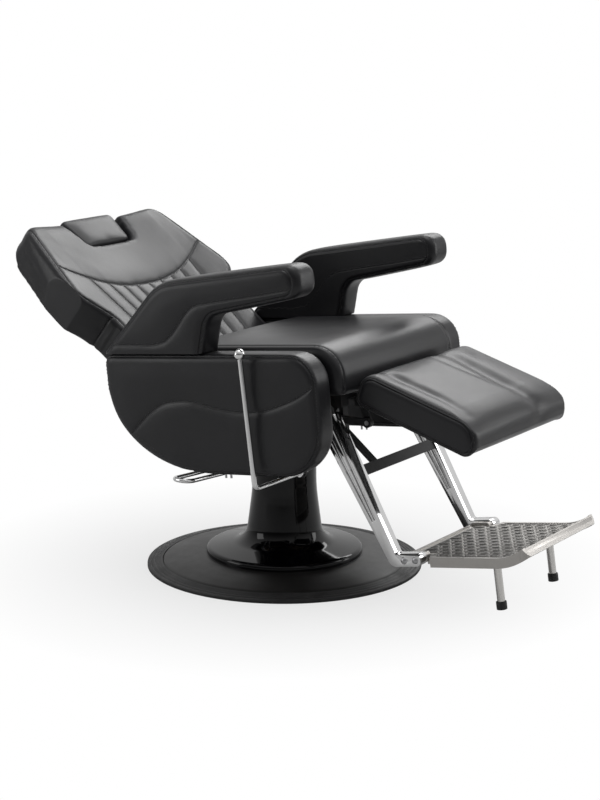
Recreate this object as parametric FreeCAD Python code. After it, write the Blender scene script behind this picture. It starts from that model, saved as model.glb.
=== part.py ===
import FreeCAD, Part
import math
import os

# A reclining barber chair with a padded seat, back, armrests, side panels, calf rest and headrest.
# A hydraulic column lifts it, it swivels, and a lever frees the back, which draws the calf rest along.
# Millimetres and degrees. +Z is up, the chair faces -Y, the sitter's left is +X.
# The origin is on the floor under the column. The chair is drawn reclined and at its lowest.

# Clearances
RUN = 0.05
AIR = 0.4

# Base and column
BASE_RADIUS = 320.0
BASE_RISE = 30.0
BASE_CROWN = 3.0
EDGE_RING_WIDTH = 36.0
EDGE_RING_HEIGHT = 13.0
EDGE_RING_LIP = 7.0
EDGE_GROOVES = 3
EDGE_GROOVE_DEPTH = 1.5
SKIRT_FLANGE_RADIUS = 182.0
SKIRT_FLANGE_RIM = 13.0
SKIRT_FLANGE_RISE = 18.0
SKIRT_THROAT_RADIUS = 90.0
SKIRT_THROAT_BEND = 44.0
SKIRT_TUBE_RADIUS = 74.0
SKIRT_FLARE_START = 155.0
SKIRT_FLARE_BEND = 420.0
SKIRT_WALL = 4.0
SKIRT_GAP = 62.0
PUMP_RADIUS = 50.0
PUMP_TOP_GAP = 18.0
GLAND_RADIUS = 56.0
GLAND_HEIGHT = 14.0
RAM_RADIUS = 32.0
RAM_FOOT_GAP = 26.0
SPIGOT_RADIUS = 25.0
SPIGOT_LENGTH = 46.0
WASHER_RADIUS = 46.0
WASHER_THICKNESS = 6.0

# Seat frame, in the seat's own level frame about the point where it crosses the column axis
SEAT_PIVOT_HEIGHT = 420.0
SEAT_PITCH = 6.0
RAIL_TOP = 26.0
RAIL_HEIGHT = 45.0
RAIL_WIDTH = 30.0
RAIL_INNER = 120.0
RAIL_FRONT = 250.0
RAIL_REAR = 225.0
TUBE_HEIGHT = 30.0
TUBE_DEPTH = 30.0
TUBE_WALL = 3.0
HUB_TUBE_OFFSET = 75.0
HUB_PLATE_HALF = 92.0
HUB_PLATE_THICKNESS = 10.0
HUB_RADIUS = 52.0
HUB_LENGTH = 50.0
HUB_BOLT_ACROSS = 35.0
HUB_BOLT_RADIUS = 6.0
HUB_BOLT_HEAD = 10.0
HUB_BOLT_HEAD_HEIGHT = 8.0

# Seat board and cushion
BOARD_THICKNESS = 14.0
BOARD_INSET = 26.0
CUSHION_WIDTH = 480.0
CUSHION_THICKNESS = 90.0
CUSHION_FRONT = 312.0
CUSHION_REAR = 118.0
CUSHION_TAIL_LENGTH = 48.0
CUSHION_TAIL_THICKNESS = 14.0
CUSHION_TAIL_SLOPE = 9.0
CUSHION_LIP_DROP = 18.0
CUSHION_LIP_DEPTH = 44.0
CUSHION_WATERFALL = 68.0
CUSHION_LIP_ROUND = 14.0
CUSHION_REAR_ROUND = 28.0
CUSHION_EDGE = 18.0

# Side panels
PANEL_GAP = 7.0
PANEL_THICKNESS = 70.0
PANEL_TOP_DROP = 6.0
PANEL_HEIGHT = 267.0
PANEL_FRONT = 296.0
PANEL_REAR = 267.0
PANEL_SWEEP = 200.0
PANEL_FRONT_TOP_ROUND = 66.0
PANEL_REAR_TOP_ROUND = 24.0
PANEL_FRONT_LOW_ROUND = 104.0
PANEL_EDGE = 14.0
SPACER_RADIUS = 12.0
SPACER_PLACES = (-110.0, 150.0)
STUD_RADIUS = 2.5
STUD_LENGTH = 12.0
STUD_PLACES = (-20.0, -34.0)

# Armrests, above the panel's top edge
ARM_WIDTH = 74.0
ARM_REAR = 263.0
ARM_REAR_SLOPE = 43.3
ARM_RISE = 165.0
ARM_SHOULDER_ROUND = 120.0
ARM_TOP_SLOPE = 4.8
ARM_FRONT = 276.0
ARM_TIP_THICKNESS = 66.0
ARM_TIP_ROUND = 27.0
ARM_UNDER_SLOPE = 8.8
ARM_POST_FRONT = 7.0
ARM_POST_LEAN = 15.6
ARM_CROTCH_ROUND = 44.0
ARM_EDGE = 16.0
ARM_STUD_RADIUS = 5.0
ARM_STUD_DEPTH = 30.0
ARM_STUD_PLACES = (45.0, 190.0)

# Leg castings, from the heel where the leg meets its bracket
HEEL_FORWARD = 368.0
HEEL_DROP = 346.6
LEG_LEAN = 25.2
LEG_THICKNESS = 30.0
LEG_FOOT_WIDTH = 22.0
LEG_TOP_WIDTH = 57.0
LEG_HEEL_ROUND = 20.0
LEG_INSTEP_ROUND = 7.0
BRACKET_TILT = 4.0
BRACKET_LENGTH = 68.0
BRACKET_HEIGHT = 27.0
BRACKET_ROUND = 11.0
FLUTE_RADIUS = 6.5
FLUTE_DEPTH = 3.5
FLUTE_SPREAD = 10.0
FLUTE_FOOT = 95.0
LEG_BOLT_RADIUS = 5.0
LEG_BOLT_HEAD = 9.0
LEG_BOLT_HEAD_HEIGHT = 5.0
LEG_BOLT_PITCH = 22.0
CROSS_BAR_ALONG = 204.0
CROSS_BAR_FORWARD = 11.0
CROSS_BAR_HEIGHT = 24.0
CROSS_BAR_THICKNESS = 8.0
BRACE_ACROSS = -90.0
BRACE_WIDTH = 20.0
BRACE_THICKNESS = 8.0
BRACE_DROP = 78.0

# Footplate, from its pivot bolt
PIVOT_ALONG_BRACKET = 27.0
STOP_ALONG_BRACKET = 55.0
PLATE_BOLT_RADIUS = 5.0
PLATE_BOLT_HEAD = 8.0
PLATE_BOLT_DOME = 4.0
PLATE_TILT = 2.5
PLATE_TOP = 5.0
PLATE_DEPTH = 22.0
PLATE_SKIN = 5.0
PLATE_WALL = 5.0
PLATE_HALF_WIDTH = 168.0
PLATE_REAR_HALF = 138.0
PLATE_REAR = 15.0
PLATE_SHOULDER = 12.0
PLATE_FLAT = 215.0
PLATE_LIP_RADIUS = 117.0
PLATE_LIP_TURN = 34.0
PLATE_CORNER = 22.0
TREAD_BORDER = 10.0
TREAD_RECESS = 1.5
LUG_RADIUS = 11.0
PLATE_LEG_ACROSS = 121.0
PLATE_LEG_FORWARD = 193.0
PLATE_LEG_RADIUS = 8.5
PLATE_LEG_LENGTH = 117.0
FOOT_RADIUS = 11.5
FOOT_HEIGHT = 18.0
FOOT_SOLE = 4.0

# Recline hinge and back, in the back's own frame: along the back and out of its front face
HINGE_REAR = 194.5
HINGE_RISE = 17.2
RECLINE_ANGLE = 43.0
RECLINE_TRAVEL = 40.0
SHAFT_RADIUS = 11.0
HINGE_EYE = 22.0
HINGE_LUG_THICKNESS = 10.0
BACK_ARM_THICKNESS = 8.0
BACK_ARM_DEPTH = 28.0
BACK_ARM_LENGTH = 240.0
BACK_TUBE_ALONG = 205.0
BACK_TUBE_RADIUS = 10.0
BACK_START = 30.0
BACK_CUSHION_START = 18.0
BACK_LENGTH = 490.0
BACK_LOW_HALF = 240.0
BACK_WAIST = 172.0
BACK_WAIST_HALF = 246.0
BACK_SHOULDER = 252.0
BACK_SHOULDER_HALF = 308.0
BACK_TOP_HALF = 247.0
BACK_WAIST_ROUND = 60.0
BACK_SHOULDER_ROUND = 48.0
BACK_TOP_ROUND = 46.0
BACK_LOW_ROUND = 20.0
BACK_BOARD_FACE = 14.0
BACK_BOARD_THICKNESS = 12.0
BACK_BOARD_INSET = 5.0
BACK_FRONT = 67.0
BACK_DISH = 32.0
BACK_EDGE = 16.0
BACK_LOW_EDGE = 16.0
SHELL_DEPTH = 60.0
SHELL_CROWN = 26.0
SHELL_WALL = 8.0
SHELL_SLOPE_LENGTH = 93.0
SHELL_SLOPE_BEND = 192.5
SHELL_TOP_DEPTH = 16.0

# Headrest, in the back's frame
NOTCH_DEPTH = 93.0
NOTCH_FOOT_HALF = 86.0
NOTCH_TOP_HALF = 108.0
NOTCH_ROUND = 26.0
NOTCH_LIP = 8.0
HEADREST_GAP = 11.0
HEADREST_LENGTH = 92.0
HEADREST_FOOT_HALF = 80.0
HEADREST_TOP_HALF = 93.0
HEADREST_THICKNESS = 18.0
HEADREST_ROUND = 12.0
HEADREST_EDGE = 7.0
POST_RADIUS = 5.0
POST_ACROSS = 45.0
POST_FOOT_GAP = 40.0
SLEEVE_LENGTH = 60.0
SLEEVE_TOP_GAP = 24.0
SLEEVE_HALF = 10.0

# Cranks, drag links and recline lock
CRANK_RADIUS = 50.0
CRANK_THICKNESS = 6.0
CRANK_INNER = 97.0
CRANK_EYE = 11.0
CRANK_PIN_RADIUS = 5.0
LINK_THICKNESS = 6.0
LINK_HEIGHT = 16.0
LOCK_ACROSS = 72.0
LOCK_CRANK_RADIUS = 85.0
LOCK_BODY_RADIUS = 13.0
LOCK_BODY_LENGTH = 200.0
LOCK_BODY_GAP = 30.0
LOCK_ROD_RADIUS = 6.0
LOCK_ROD_LENGTH = 190.0
LOCK_END_HEIGHT = 24.0
LOCK_END_THICKNESS = 6.0
LOCK_CLAMP_WALL = 6.0
LOCK_CLAMP_LENGTH = 18.0

# Calf rest, in its own frame: forward along the pad and out of its top
CALF_PIVOT_FORWARD = 272.3
CALF_PIVOT_DROP = 11.5
CALF_ANGLE = 23.0
CALF_START = 37.0
CALF_END = 338.0
CALF_HALF_WIDTH = 213.0
CALF_BOTTOM = 28.0
CALF_TOP = 101.0
CALF_REAR_TOP_ROUND = 34.0
CALF_REAR_LOW_ROUND = 18.0
CALF_FRONT_TOP_ROUND = 50.0
CALF_FRONT_LOW_ROUND = 20.0
CALF_EDGE = 14.0
CALF_BOARD_THICKNESS = 10.0
CALF_BOARD_INSET = 24.0
CALF_ARM_DEPTH = 20.0
CALF_ARM_REACH = 230.0
CALF_PIN_RADIUS = 6.0
CALF_EYE = 13.0
CALF_LUG_THICKNESS = 8.0

# Recline lever
LEVER_RADIUS = 5.5
LEVER_AIR = 14.5
LEVER_FORWARD = 134.0
LEVER_DROP = 165.0
LEVER_RISE = 293.0
LEVER_LEAN = 1.6
LEVER_BEND = 14.0
LEVER_INNER = 138.0
KNOB_RADIUS = 12.0
LEVER_PLATE_THICKNESS = 8.0
LEVER_PLATE_WIDTH = 24.0
LEVER_COLLAR_RADIUS = 9.0
LEVER_COLLAR_LENGTH = 8.0

# Pump pedal
PEDAL_RADIUS = 5.0
PEDAL_PIVOT_ACROSS = 84.0
PEDAL_PIVOT_DROP = 68.0
PEDAL_START = 33.0
PEDAL_LOOP_WIDTH = 46.0
PEDAL_ELBOW_OUT = 34.0
PEDAL_ELBOW_DROP = 106.0
PEDAL_REACH = 328.0
PEDAL_END_DROP = 93.0
PEDAL_BEND = 20.0
PEDAL_SLEEVE_RADIUS = 9.0
PEDAL_PIN_RADIUS = 5.0
PEDAL_EAR_THICKNESS = 8.0
PEDAL_EAR_HALF = 12.0

# Values that follow from the sizes above
SMALL = 0.001
ROUND_SHARE = 0.98
PANEL_INNER = CUSHION_WIDTH / 2 + PANEL_GAP
PANEL_MIDDLE = PANEL_INNER + PANEL_THICKNESS / 2
PANEL_OUTER = PANEL_INNER + PANEL_THICKNESS
RAIL_OUTER = RAIL_INNER + RAIL_WIDTH
RAIL_BOTTOM = RAIL_TOP - RAIL_HEIGHT
TUBE_BOTTOM = RAIL_TOP - TUBE_HEIGHT
HUB_PLATE_BOTTOM = TUBE_BOTTOM - HUB_PLATE_THICKNESS
CUSHION_BOTTOM = RAIL_TOP + BOARD_THICKNESS
SEAT_TOP = CUSHION_BOTTOM + CUSHION_THICKNESS
PANEL_TOP = SEAT_TOP - PANEL_TOP_DROP
PANEL_BOTTOM = PANEL_TOP - PANEL_HEIGHT
LEG_OUTER = RAIL_OUTER + LEG_THICKNESS
HINGE_HEIGHT = RAIL_TOP + HINGE_RISE
HUB_BOTTOM = SEAT_PIVOT_HEIGHT + HUB_PLATE_BOTTOM - HUB_LENGTH
PEDAL_PIVOT_HEIGHT = SEAT_PIVOT_HEIGHT - PEDAL_PIVOT_DROP
SHELL_SLOPE_START = BACK_LENGTH - SHELL_SLOPE_LENGTH
NOTCH_FOOT = BACK_LENGTH - NOTCH_DEPTH
HEADREST_FOOT = NOTCH_FOOT + HEADREST_GAP
HEADREST_TOP = HEADREST_FOOT + HEADREST_LENGTH
POST_FOOT = BACK_TUBE_ALONG + BACK_TUBE_RADIUS + POST_FOOT_GAP
RAM_SHOULDER = HUB_BOTTOM - AIR - WASHER_THICKNESS
SKIRT_TOP = HUB_BOTTOM - SKIRT_GAP
PUMP_TOP = SKIRT_TOP - PUMP_TOP_GAP
LINK_INNER = CRANK_INNER + CRANK_THICKNESS + 2 * AIR
BACK_BOARD_REAR = BACK_BOARD_FACE - BACK_BOARD_THICKNESS


def vector(x, y, z):
    """Point or direction in the chair's frame."""
    return FreeCAD.Vector(x, y, z)


X_AXIS = vector(1, 0, 0)
Z_AXIS = vector(0, 0, 1)


def turned(angle, at):
    """Frame turned about the X axis, with its origin at a point of its parent frame."""
    return FreeCAD.Placement(at, FreeCAD.Rotation(X_AXIS, angle))


# Frames of the pitched seat, the back, the calf rest and the footplate
SEAT = turned(-SEAT_PITCH, vector(0, 0, SEAT_PIVOT_HEIGHT))
BACK = SEAT * turned(RECLINE_ANGLE, vector(0, HINGE_REAR, HINGE_HEIGHT))
CALF = SEAT * turned(CALF_ANGLE, vector(0, -CALF_PIVOT_FORWARD, -CALF_PIVOT_DROP))
BRACKET = SEAT * turned(-BRACKET_TILT, vector(0, -HEEL_FORWARD, -HEEL_DROP))
PLATE_PIVOT = BRACKET.multVec(vector(0, -PIVOT_ALONG_BRACKET, 0))
PLATE = FreeCAD.Placement(PLATE_PIVOT, FreeCAD.Rotation(X_AXIS, -SEAT_PITCH - PLATE_TILT))


def placed(shape, frame):
    """Copy of a shape carried from its own frame into the chair's."""
    moved = shape.copy()
    moved.transformShape(frame.toMatrix(), True)
    return moved


def mirrored(shape):
    """The same piece on the other side of the chair."""
    return shape.mirror(vector(0, 0, 0), X_AXIS)


def both_sides(shape):
    """A piece and its mirror image, as separate solids of one node."""
    return Part.makeCompound([shape, mirrored(shape)])


def block(low, high):
    """Box between two corners."""
    return Part.makeBox(high[0] - low[0], high[1] - low[1], high[2] - low[2], vector(*low))


def rod(start, end, radius, end_radius=None):
    """Round bar, or a taper, between two points."""
    run = end - start
    if end_radius is None:
        return Part.makeCylinder(radius, run.Length, start, run)
    return Part.makeCone(radius, end_radius, run.Length, start, run)


def across(y, z, start, end, radius):
    """Round bar along X between two distances from the middle."""
    return rod(vector(start, y, z), vector(end, y, z), radius)


def half_angle(before, at, after):
    """Half of the angle between the two sides that meet at a corner."""
    return (before - at).getAngle(after - at) / 2


def corner_arc(before, at, after, setback):
    """Start, middle and end of the arc that rounds one corner, from how far back it starts."""
    back = (before - at).normalize()
    ahead = (after - at).normalize()
    half = half_angle(before, at, after)
    radius = setback * math.tan(half)
    inward = (back + ahead).normalize()
    return at + back * setback, at + inward * (radius / math.sin(half) - radius), at + ahead * setback


def corner_setbacks(corners, closed):
    """How far back each corner's arc starts, drawn in where two arcs would meet on one side."""
    count = len(corners)
    points = [point for point, radius in corners]
    setbacks = []
    for index, (at, radius) in enumerate(corners):
        end_of_path = not closed and index in (0, count - 1)
        if radius <= 0 or end_of_path:
            setbacks.append(0.0)
        else:
            after = points[(index + 1) % count]
            setbacks.append(radius / math.tan(half_angle(points[index - 1], at, after)))
    shares = [1.0] * count
    for index in range(count if closed else count - 1):
        following = (index + 1) % count
        wanted = setbacks[index] + setbacks[following]
        room = (points[following] - points[index]).Length * ROUND_SHARE
        if wanted > room:
            shares[index] = min(shares[index], room / wanted)
            shares[following] = min(shares[following], room / wanted)
    return [setback * share for setback, share in zip(setbacks, shares)]


def outline_edges(corners, closed):
    """Straight runs joined by tangent arcs through (point, radius) corners."""
    count = len(corners)
    points = [point for point, radius in corners]
    stops = []
    for index, setback in enumerate(corner_setbacks(corners, closed)):
        at = points[index]
        if setback <= 0:
            stops.append((at, at, at))
        else:
            stops.append(corner_arc(points[index - 1], at, points[(index + 1) % count], setback))
    edges = []
    for index in range(count):
        start, middle, end = stops[index]
        if (end - start).Length > SMALL:
            edges.append(Part.Arc(start, middle, end).toShape())
        if closed or index < count - 1:
            following = stops[(index + 1) % count][0]
            if (following - end).Length > SMALL:
                edges.append(Part.makeLine(end, following))
    return edges


def outline(corners):
    """Closed wire of straight runs and rounded corners."""
    return Part.Wire(outline_edges(corners, True))


def side_prism(corners, start, end):
    """Solid with a side-view outline of (y, z, radius) corners, between two places along X."""
    wire = outline([(vector(start, y, z), radius) for y, z, radius in corners])
    return Part.Face(wire).extrude(vector(end - start, 0, 0))


def plan_prism(corners, bottom, top):
    """Solid with a plan-view outline of (x, y, radius) corners, between two heights."""
    wire = outline([(vector(x, y, bottom), radius) for x, y, radius in corners])
    return Part.Face(wire).extrude(vector(0, 0, top - bottom))


def symmetric(half):
    """Whole outline from its right half, listed from rear to front or from foot to top."""
    return half + [(-x, y, radius) for x, y, radius in reversed(half)]


def pipe(points, bend, radius):
    """Round bar bent along straight runs, with one bend radius."""
    path = Part.Wire(outline_edges([(point, bend) for point in points], False))
    ring = Part.Wire(Part.makeCircle(radius, points[0], points[1] - points[0]))
    return path.makePipeShell([ring], True, False)


def softened(solid, radius, wanted):
    """Solid with the edges that pass a test rounded over."""
    return solid.makeFillet(radius, [edge for edge in solid.Edges if wanted(edge)])


def at_side(edge, x):
    """True for an edge that lies in the plane of one side face."""
    return abs(edge.BoundBox.XMin - x) < SMALL and abs(edge.BoundBox.XMax - x) < SMALL


def at_height(edge, z):
    """True for an edge that lies in one level plane."""
    return abs(edge.BoundBox.ZMin - z) < SMALL and abs(edge.BoundBox.ZMax - z) < SMALL


def meet(p, p_angle, q, q_angle):
    """Crossing of two lines in a side view, each a (y, z) point and a slope angle above +Y."""
    p_y, p_z = math.cos(math.radians(p_angle)), math.sin(math.radians(p_angle))
    q_y, q_z = math.cos(math.radians(q_angle)), math.sin(math.radians(q_angle))
    gap_y, gap_z = q[0] - p[0], q[1] - p[1]
    reach = (gap_y * q_z - gap_z * q_y) / (p_y * q_z - p_z * q_y)
    return p[0] + reach * p_y, p[1] + reach * p_z


def revolved(edges):
    """Solid of revolution about the column from the edges of a half section."""
    return Part.Face(Part.Wire(edges)).revolve(vector(0, 0, 0), Z_AXIS, 360)


def section(corners):
    """Edges of a half section from (radius from the axis, height, rounding) corners."""
    return outline_edges([(vector(r, 0, z), rounding) for r, z, rounding in corners], True)


# Base and column


def base_plate():
    """Domed disc, flat underneath, that the whole chair stands on."""
    edge = BASE_RADIUS - EDGE_RING_WIDTH
    rim = vector(edge, 0, EDGE_RING_HEIGHT)
    crown = vector(SKIRT_FLANGE_RADIUS, 0, BASE_RISE)
    bulge = (rim + crown) * 0.5 + vector(0, 0, BASE_CROWN)
    return revolved([
        Part.makeLine(vector(0, 0, 0), vector(edge, 0, 0)),
        Part.makeLine(vector(edge, 0, 0), rim),
        Part.Arc(rim, bulge, crown).toShape(),
        Part.makeLine(crown, vector(0, 0, BASE_RISE)),
        Part.makeLine(vector(0, 0, BASE_RISE), vector(0, 0, 0)),
    ])


def base_edge_ring():
    """Rubber ring round the disc, with grooves that run round its sloping top."""
    inner = BASE_RADIUS - EDGE_RING_WIDTH
    fall = (EDGE_RING_HEIGHT - EDGE_RING_LIP) / EDGE_RING_WIDTH
    ring = revolved(section([
        (inner, 0, 0), (BASE_RADIUS, 0, 0),
        (BASE_RADIUS, EDGE_RING_LIP, EDGE_RING_LIP / 3), (inner, EDGE_RING_HEIGHT, 0),
    ]))
    pitch = EDGE_RING_WIDTH / (EDGE_GROOVES + 1)
    for number in range(1, EDGE_GROOVES + 1):
        at = number * pitch
        top = EDGE_RING_HEIGHT - at * fall
        groove = revolved(section([
            (inner + at, top - EDGE_GROOVE_DEPTH, 0),
            (inner + at + pitch / 4, top + EDGE_GROOVE_DEPTH, 0),
            (inner + at - pitch / 4, top + EDGE_GROOVE_DEPTH, 0),
        ]))
        ring = ring.cut(groove)
    return ring


def skirt_side(inset, drop):
    """Corners of the trumpet's outline, drawn in from the outside by a wall."""
    return [
        (SKIRT_TUBE_RADIUS - inset, SKIRT_TOP, 0),
        (SKIRT_TUBE_RADIUS - inset, BASE_RISE + SKIRT_FLARE_START, SKIRT_FLARE_BEND),
        (SKIRT_THROAT_RADIUS - inset, BASE_RISE + SKIRT_FLANGE_RISE + SKIRT_FLANGE_RIM - drop,
         SKIRT_THROAT_BEND + inset),
        (SKIRT_FLANGE_RADIUS - inset, BASE_RISE + SKIRT_FLANGE_RIM - drop, SKIRT_FLANGE_RIM * 0.7 - drop),
        (SKIRT_FLANGE_RADIUS - inset, BASE_RISE, 0),
    ]


def column_skirt():
    """Thin trumpet-shaped cover round the pump, open at the top for the ram."""
    outside = skirt_side(0, 0)
    inside = skirt_side(SKIRT_WALL, SKIRT_WALL)
    return revolved(section(outside + list(reversed(inside))))


def pump_cylinder():
    """Pump body, bored for the ram, standing on the disc inside the skirt."""
    body = rod(vector(0, 0, BASE_RISE), vector(0, 0, PUMP_TOP), PUMP_RADIUS)
    foot = BASE_RISE + RAM_FOOT_GAP - AIR
    return body.cut(rod(vector(0, 0, foot), vector(0, 0, PUMP_TOP), RAM_RADIUS + RUN))


def gland_nut():
    """Ring nut that closes the pump round the ram."""
    ring = rod(vector(0, 0, PUMP_TOP), vector(0, 0, PUMP_TOP + GLAND_HEIGHT), GLAND_RADIUS)
    return ring.cut(rod(vector(0, 0, PUMP_TOP), vector(0, 0, PUMP_TOP + GLAND_HEIGHT), RAM_RADIUS + RUN))


def piston_ram():
    """Lifting ram, with a shoulder and a spigot that the seat turns on."""
    stem = rod(vector(0, 0, BASE_RISE + RAM_FOOT_GAP), vector(0, 0, RAM_SHOULDER), RAM_RADIUS)
    spigot = rod(vector(0, 0, RAM_SHOULDER), vector(0, 0, RAM_SHOULDER + SPIGOT_LENGTH), SPIGOT_RADIUS)
    return stem.fuse(spigot).removeSplitter()


def thrust_washer():
    """Washer on the ram's shoulder that carries the hub."""
    foot = vector(0, 0, RAM_SHOULDER)
    top = vector(0, 0, RAM_SHOULDER + WASHER_THICKNESS)
    return rod(foot, top, WASHER_RADIUS).cut(rod(foot, top, SPIGOT_RADIUS + RUN))


# Seat frame


def hub_bolt_places():
    """Places of the four bolts that hold the hub plate to its cross tubes."""
    return [(x, y) for x in (-HUB_BOLT_ACROSS, HUB_BOLT_ACROSS) for y in (-HUB_TUBE_OFFSET, HUB_TUBE_OFFSET)]


def hub_socket():
    """Pitched plate with an upright socket that turns on the ram's spigot."""
    plate = plan_prism(
        symmetric([
            (HUB_PLATE_HALF, -HUB_PLATE_HALF, HUB_BOLT_HEAD),
            (HUB_PLATE_HALF, HUB_PLATE_HALF, HUB_BOLT_HEAD),
        ]),
        HUB_PLATE_BOTTOM, TUBE_BOTTOM)
    plate = placed(plate, SEAT)
    tilt_room = HUB_RADIUS * math.tan(math.radians(SEAT_PITCH))
    top = SEAT_PIVOT_HEIGHT + HUB_PLATE_BOTTOM + tilt_room
    barrel = rod(vector(0, 0, HUB_BOTTOM), vector(0, 0, top), HUB_RADIUS)
    above = block((-HUB_PLATE_HALF, -HUB_PLATE_HALF, TUBE_BOTTOM - HUB_PLATE_THICKNESS / 2),
                  (HUB_PLATE_HALF, HUB_PLATE_HALF, TUBE_BOTTOM + HUB_LENGTH))
    hub = barrel.cut(placed(above, SEAT)).fuse(plate).removeSplitter()
    bore_top = RAM_SHOULDER + SPIGOT_LENGTH + AIR
    hub = hub.cut(rod(vector(0, 0, HUB_BOTTOM), vector(0, 0, bore_top), SPIGOT_RADIUS + RUN))
    for x, y in hub_bolt_places():
        hole = rod(vector(x, y, HUB_PLATE_BOTTOM), vector(x, y, TUBE_BOTTOM), HUB_BOLT_RADIUS + RUN)
        hub = hub.cut(placed(hole, SEAT))
    return hub


def hub_bolts():
    """Four bolts up through the hub plate into the cross tubes."""
    bolts = []
    for x, y in hub_bolt_places():
        seat_at = vector(x, y, HUB_PLATE_BOTTOM)
        head = rod(seat_at - vector(0, 0, HUB_BOLT_HEAD_HEIGHT), seat_at, HUB_BOLT_HEAD)
        shank = rod(vector(x, y, HUB_PLATE_BOTTOM), vector(x, y, TUBE_BOTTOM + TUBE_WALL), HUB_BOLT_RADIUS)
        bolts.append(placed(head.fuse(shank).removeSplitter(), SEAT))
    return Part.makeCompound(bolts)


def cross_tube(middle):
    """Box tube between the rails, hollow and open at its ends."""
    half = TUBE_DEPTH / 2
    outer = block((-RAIL_INNER, middle - half, TUBE_BOTTOM), (RAIL_INNER, middle + half, RAIL_TOP))
    inner = block((-RAIL_INNER, middle - half + TUBE_WALL, TUBE_BOTTOM + TUBE_WALL),
                  (RAIL_INNER, middle + half - TUBE_WALL, RAIL_TOP - TUBE_WALL))
    return outer.cut(inner)


def hub_cross_tubes():
    """The two cross tubes over the hub plate, drilled for its bolts."""
    tubes = []
    for y in (-HUB_TUBE_OFFSET, HUB_TUBE_OFFSET):
        tube = cross_tube(y)
        for x in (-HUB_BOLT_ACROSS, HUB_BOLT_ACROSS):
            low = vector(x, y, TUBE_BOTTOM)
            hole = rod(low, low + vector(0, 0, TUBE_WALL), HUB_BOLT_RADIUS + RUN)
            tube = tube.cut(hole)
        tubes.append(placed(tube, SEAT))
    return Part.makeCompound(tubes)


def front_cross_tube():
    """Cross tube at the front of the rails, which carries the calf rest's lugs."""
    return placed(cross_tube(TUBE_DEPTH / 2 - RAIL_FRONT), SEAT)


def leg_line(along):
    """Point in the seat's frame on a leg's centre line, measured up from the heel."""
    lean = math.radians(LEG_LEAN)
    return -HEEL_FORWARD + along * math.sin(lean), -HEEL_DROP + along * math.cos(lean)


def leg_bolt_places():
    """Places in the seat's frame of the two bolts that hold a leg to its rail."""
    lean = math.radians(LEG_LEAN)
    to_rail = (HEEL_DROP + RAIL_TOP - RAIL_HEIGHT / 2) / math.cos(lean)
    return [leg_line(to_rail + side * LEG_BOLT_PITCH / 2) for side in (-1, 1)]


def frame_rail():
    """Side rail with the lug that carries the recline shaft."""
    rail = block((RAIL_INNER, -RAIL_FRONT, RAIL_BOTTOM), (RAIL_OUTER, RAIL_REAR, RAIL_TOP))
    lug_start = RAIL_INNER + (RAIL_WIDTH - HINGE_LUG_THICKNESS) / 2
    lug_end = lug_start + HINGE_LUG_THICKNESS
    eye = across(HINGE_REAR, HINGE_HEIGHT, lug_start, lug_end, HINGE_EYE)
    web = block((lug_start, HINGE_REAR - HINGE_EYE, RAIL_BOTTOM + RAIL_HEIGHT / 2),
                (lug_end, HINGE_REAR + HINGE_EYE, HINGE_HEIGHT))
    rail = rail.fuse([web, eye]).removeSplitter()
    rail = rail.cut(across(HINGE_REAR, HINGE_HEIGHT, lug_start, lug_end, SHAFT_RADIUS + RUN))
    for y, z in leg_bolt_places():
        rail = rail.cut(across(y, z, RAIL_INNER, RAIL_OUTER, LEG_BOLT_RADIUS + RUN))
    return placed(rail, SEAT)


def panel_spacers():
    """Spacer bars between the rails and the side panels."""
    middle = RAIL_TOP - RAIL_HEIGHT / 2
    bars = [across(y, middle, RAIL_OUTER, PANEL_INNER, SPACER_RADIUS) for y in SPACER_PLACES]
    return placed(both_sides(Part.makeCompound(bars)), SEAT)


# Seat upholstery and side panels


def seat_board():
    """Plywood under the seat cushion."""
    half = CUSHION_WIDTH / 2 - BOARD_INSET
    front = CUSHION_LIP_DEPTH - CUSHION_FRONT
    board = block((-half, front, RAIL_TOP), (half, CUSHION_REAR + CUSHION_TAIL_LENGTH, CUSHION_BOTTOM))
    return placed(board, SEAT)


def seat_cushion():
    """Seat cushion with a waterfall front over the board's edge and a thin tail under the back."""
    half = CUSHION_WIDTH / 2
    lip_back = CUSHION_LIP_DEPTH - CUSHION_FRONT - AIR
    tail_end = CUSHION_REAR + CUSHION_TAIL_LENGTH
    tail_top = CUSHION_BOTTOM + CUSHION_TAIL_THICKNESS
    tail_rise = CUSHION_TAIL_LENGTH * math.tan(math.radians(CUSHION_TAIL_SLOPE))
    cushion = side_prism([
        (tail_end, CUSHION_BOTTOM, 0), (tail_end, tail_top, CUSHION_TAIL_THICKNESS / 2),
        (CUSHION_REAR, tail_top + tail_rise, 0), (CUSHION_REAR, SEAT_TOP, CUSHION_REAR_ROUND),
        (-CUSHION_FRONT, SEAT_TOP, CUSHION_WATERFALL),
        (-CUSHION_FRONT, CUSHION_BOTTOM - CUSHION_LIP_DROP, CUSHION_LIP_ROUND),
        (lip_back, CUSHION_BOTTOM - CUSHION_LIP_DROP, 0), (lip_back, CUSHION_BOTTOM, 0),
    ], -half, half)
    low = CUSHION_BOTTOM + SMALL
    rear = CUSHION_REAR - SMALL
    cushion = softened(cushion, CUSHION_EDGE,
                       lambda edge: (at_side(edge, half) or at_side(edge, -half))
                       and edge.BoundBox.ZMax > low and edge.BoundBox.YMin < rear)
    return placed(cushion, SEAT)


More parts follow.
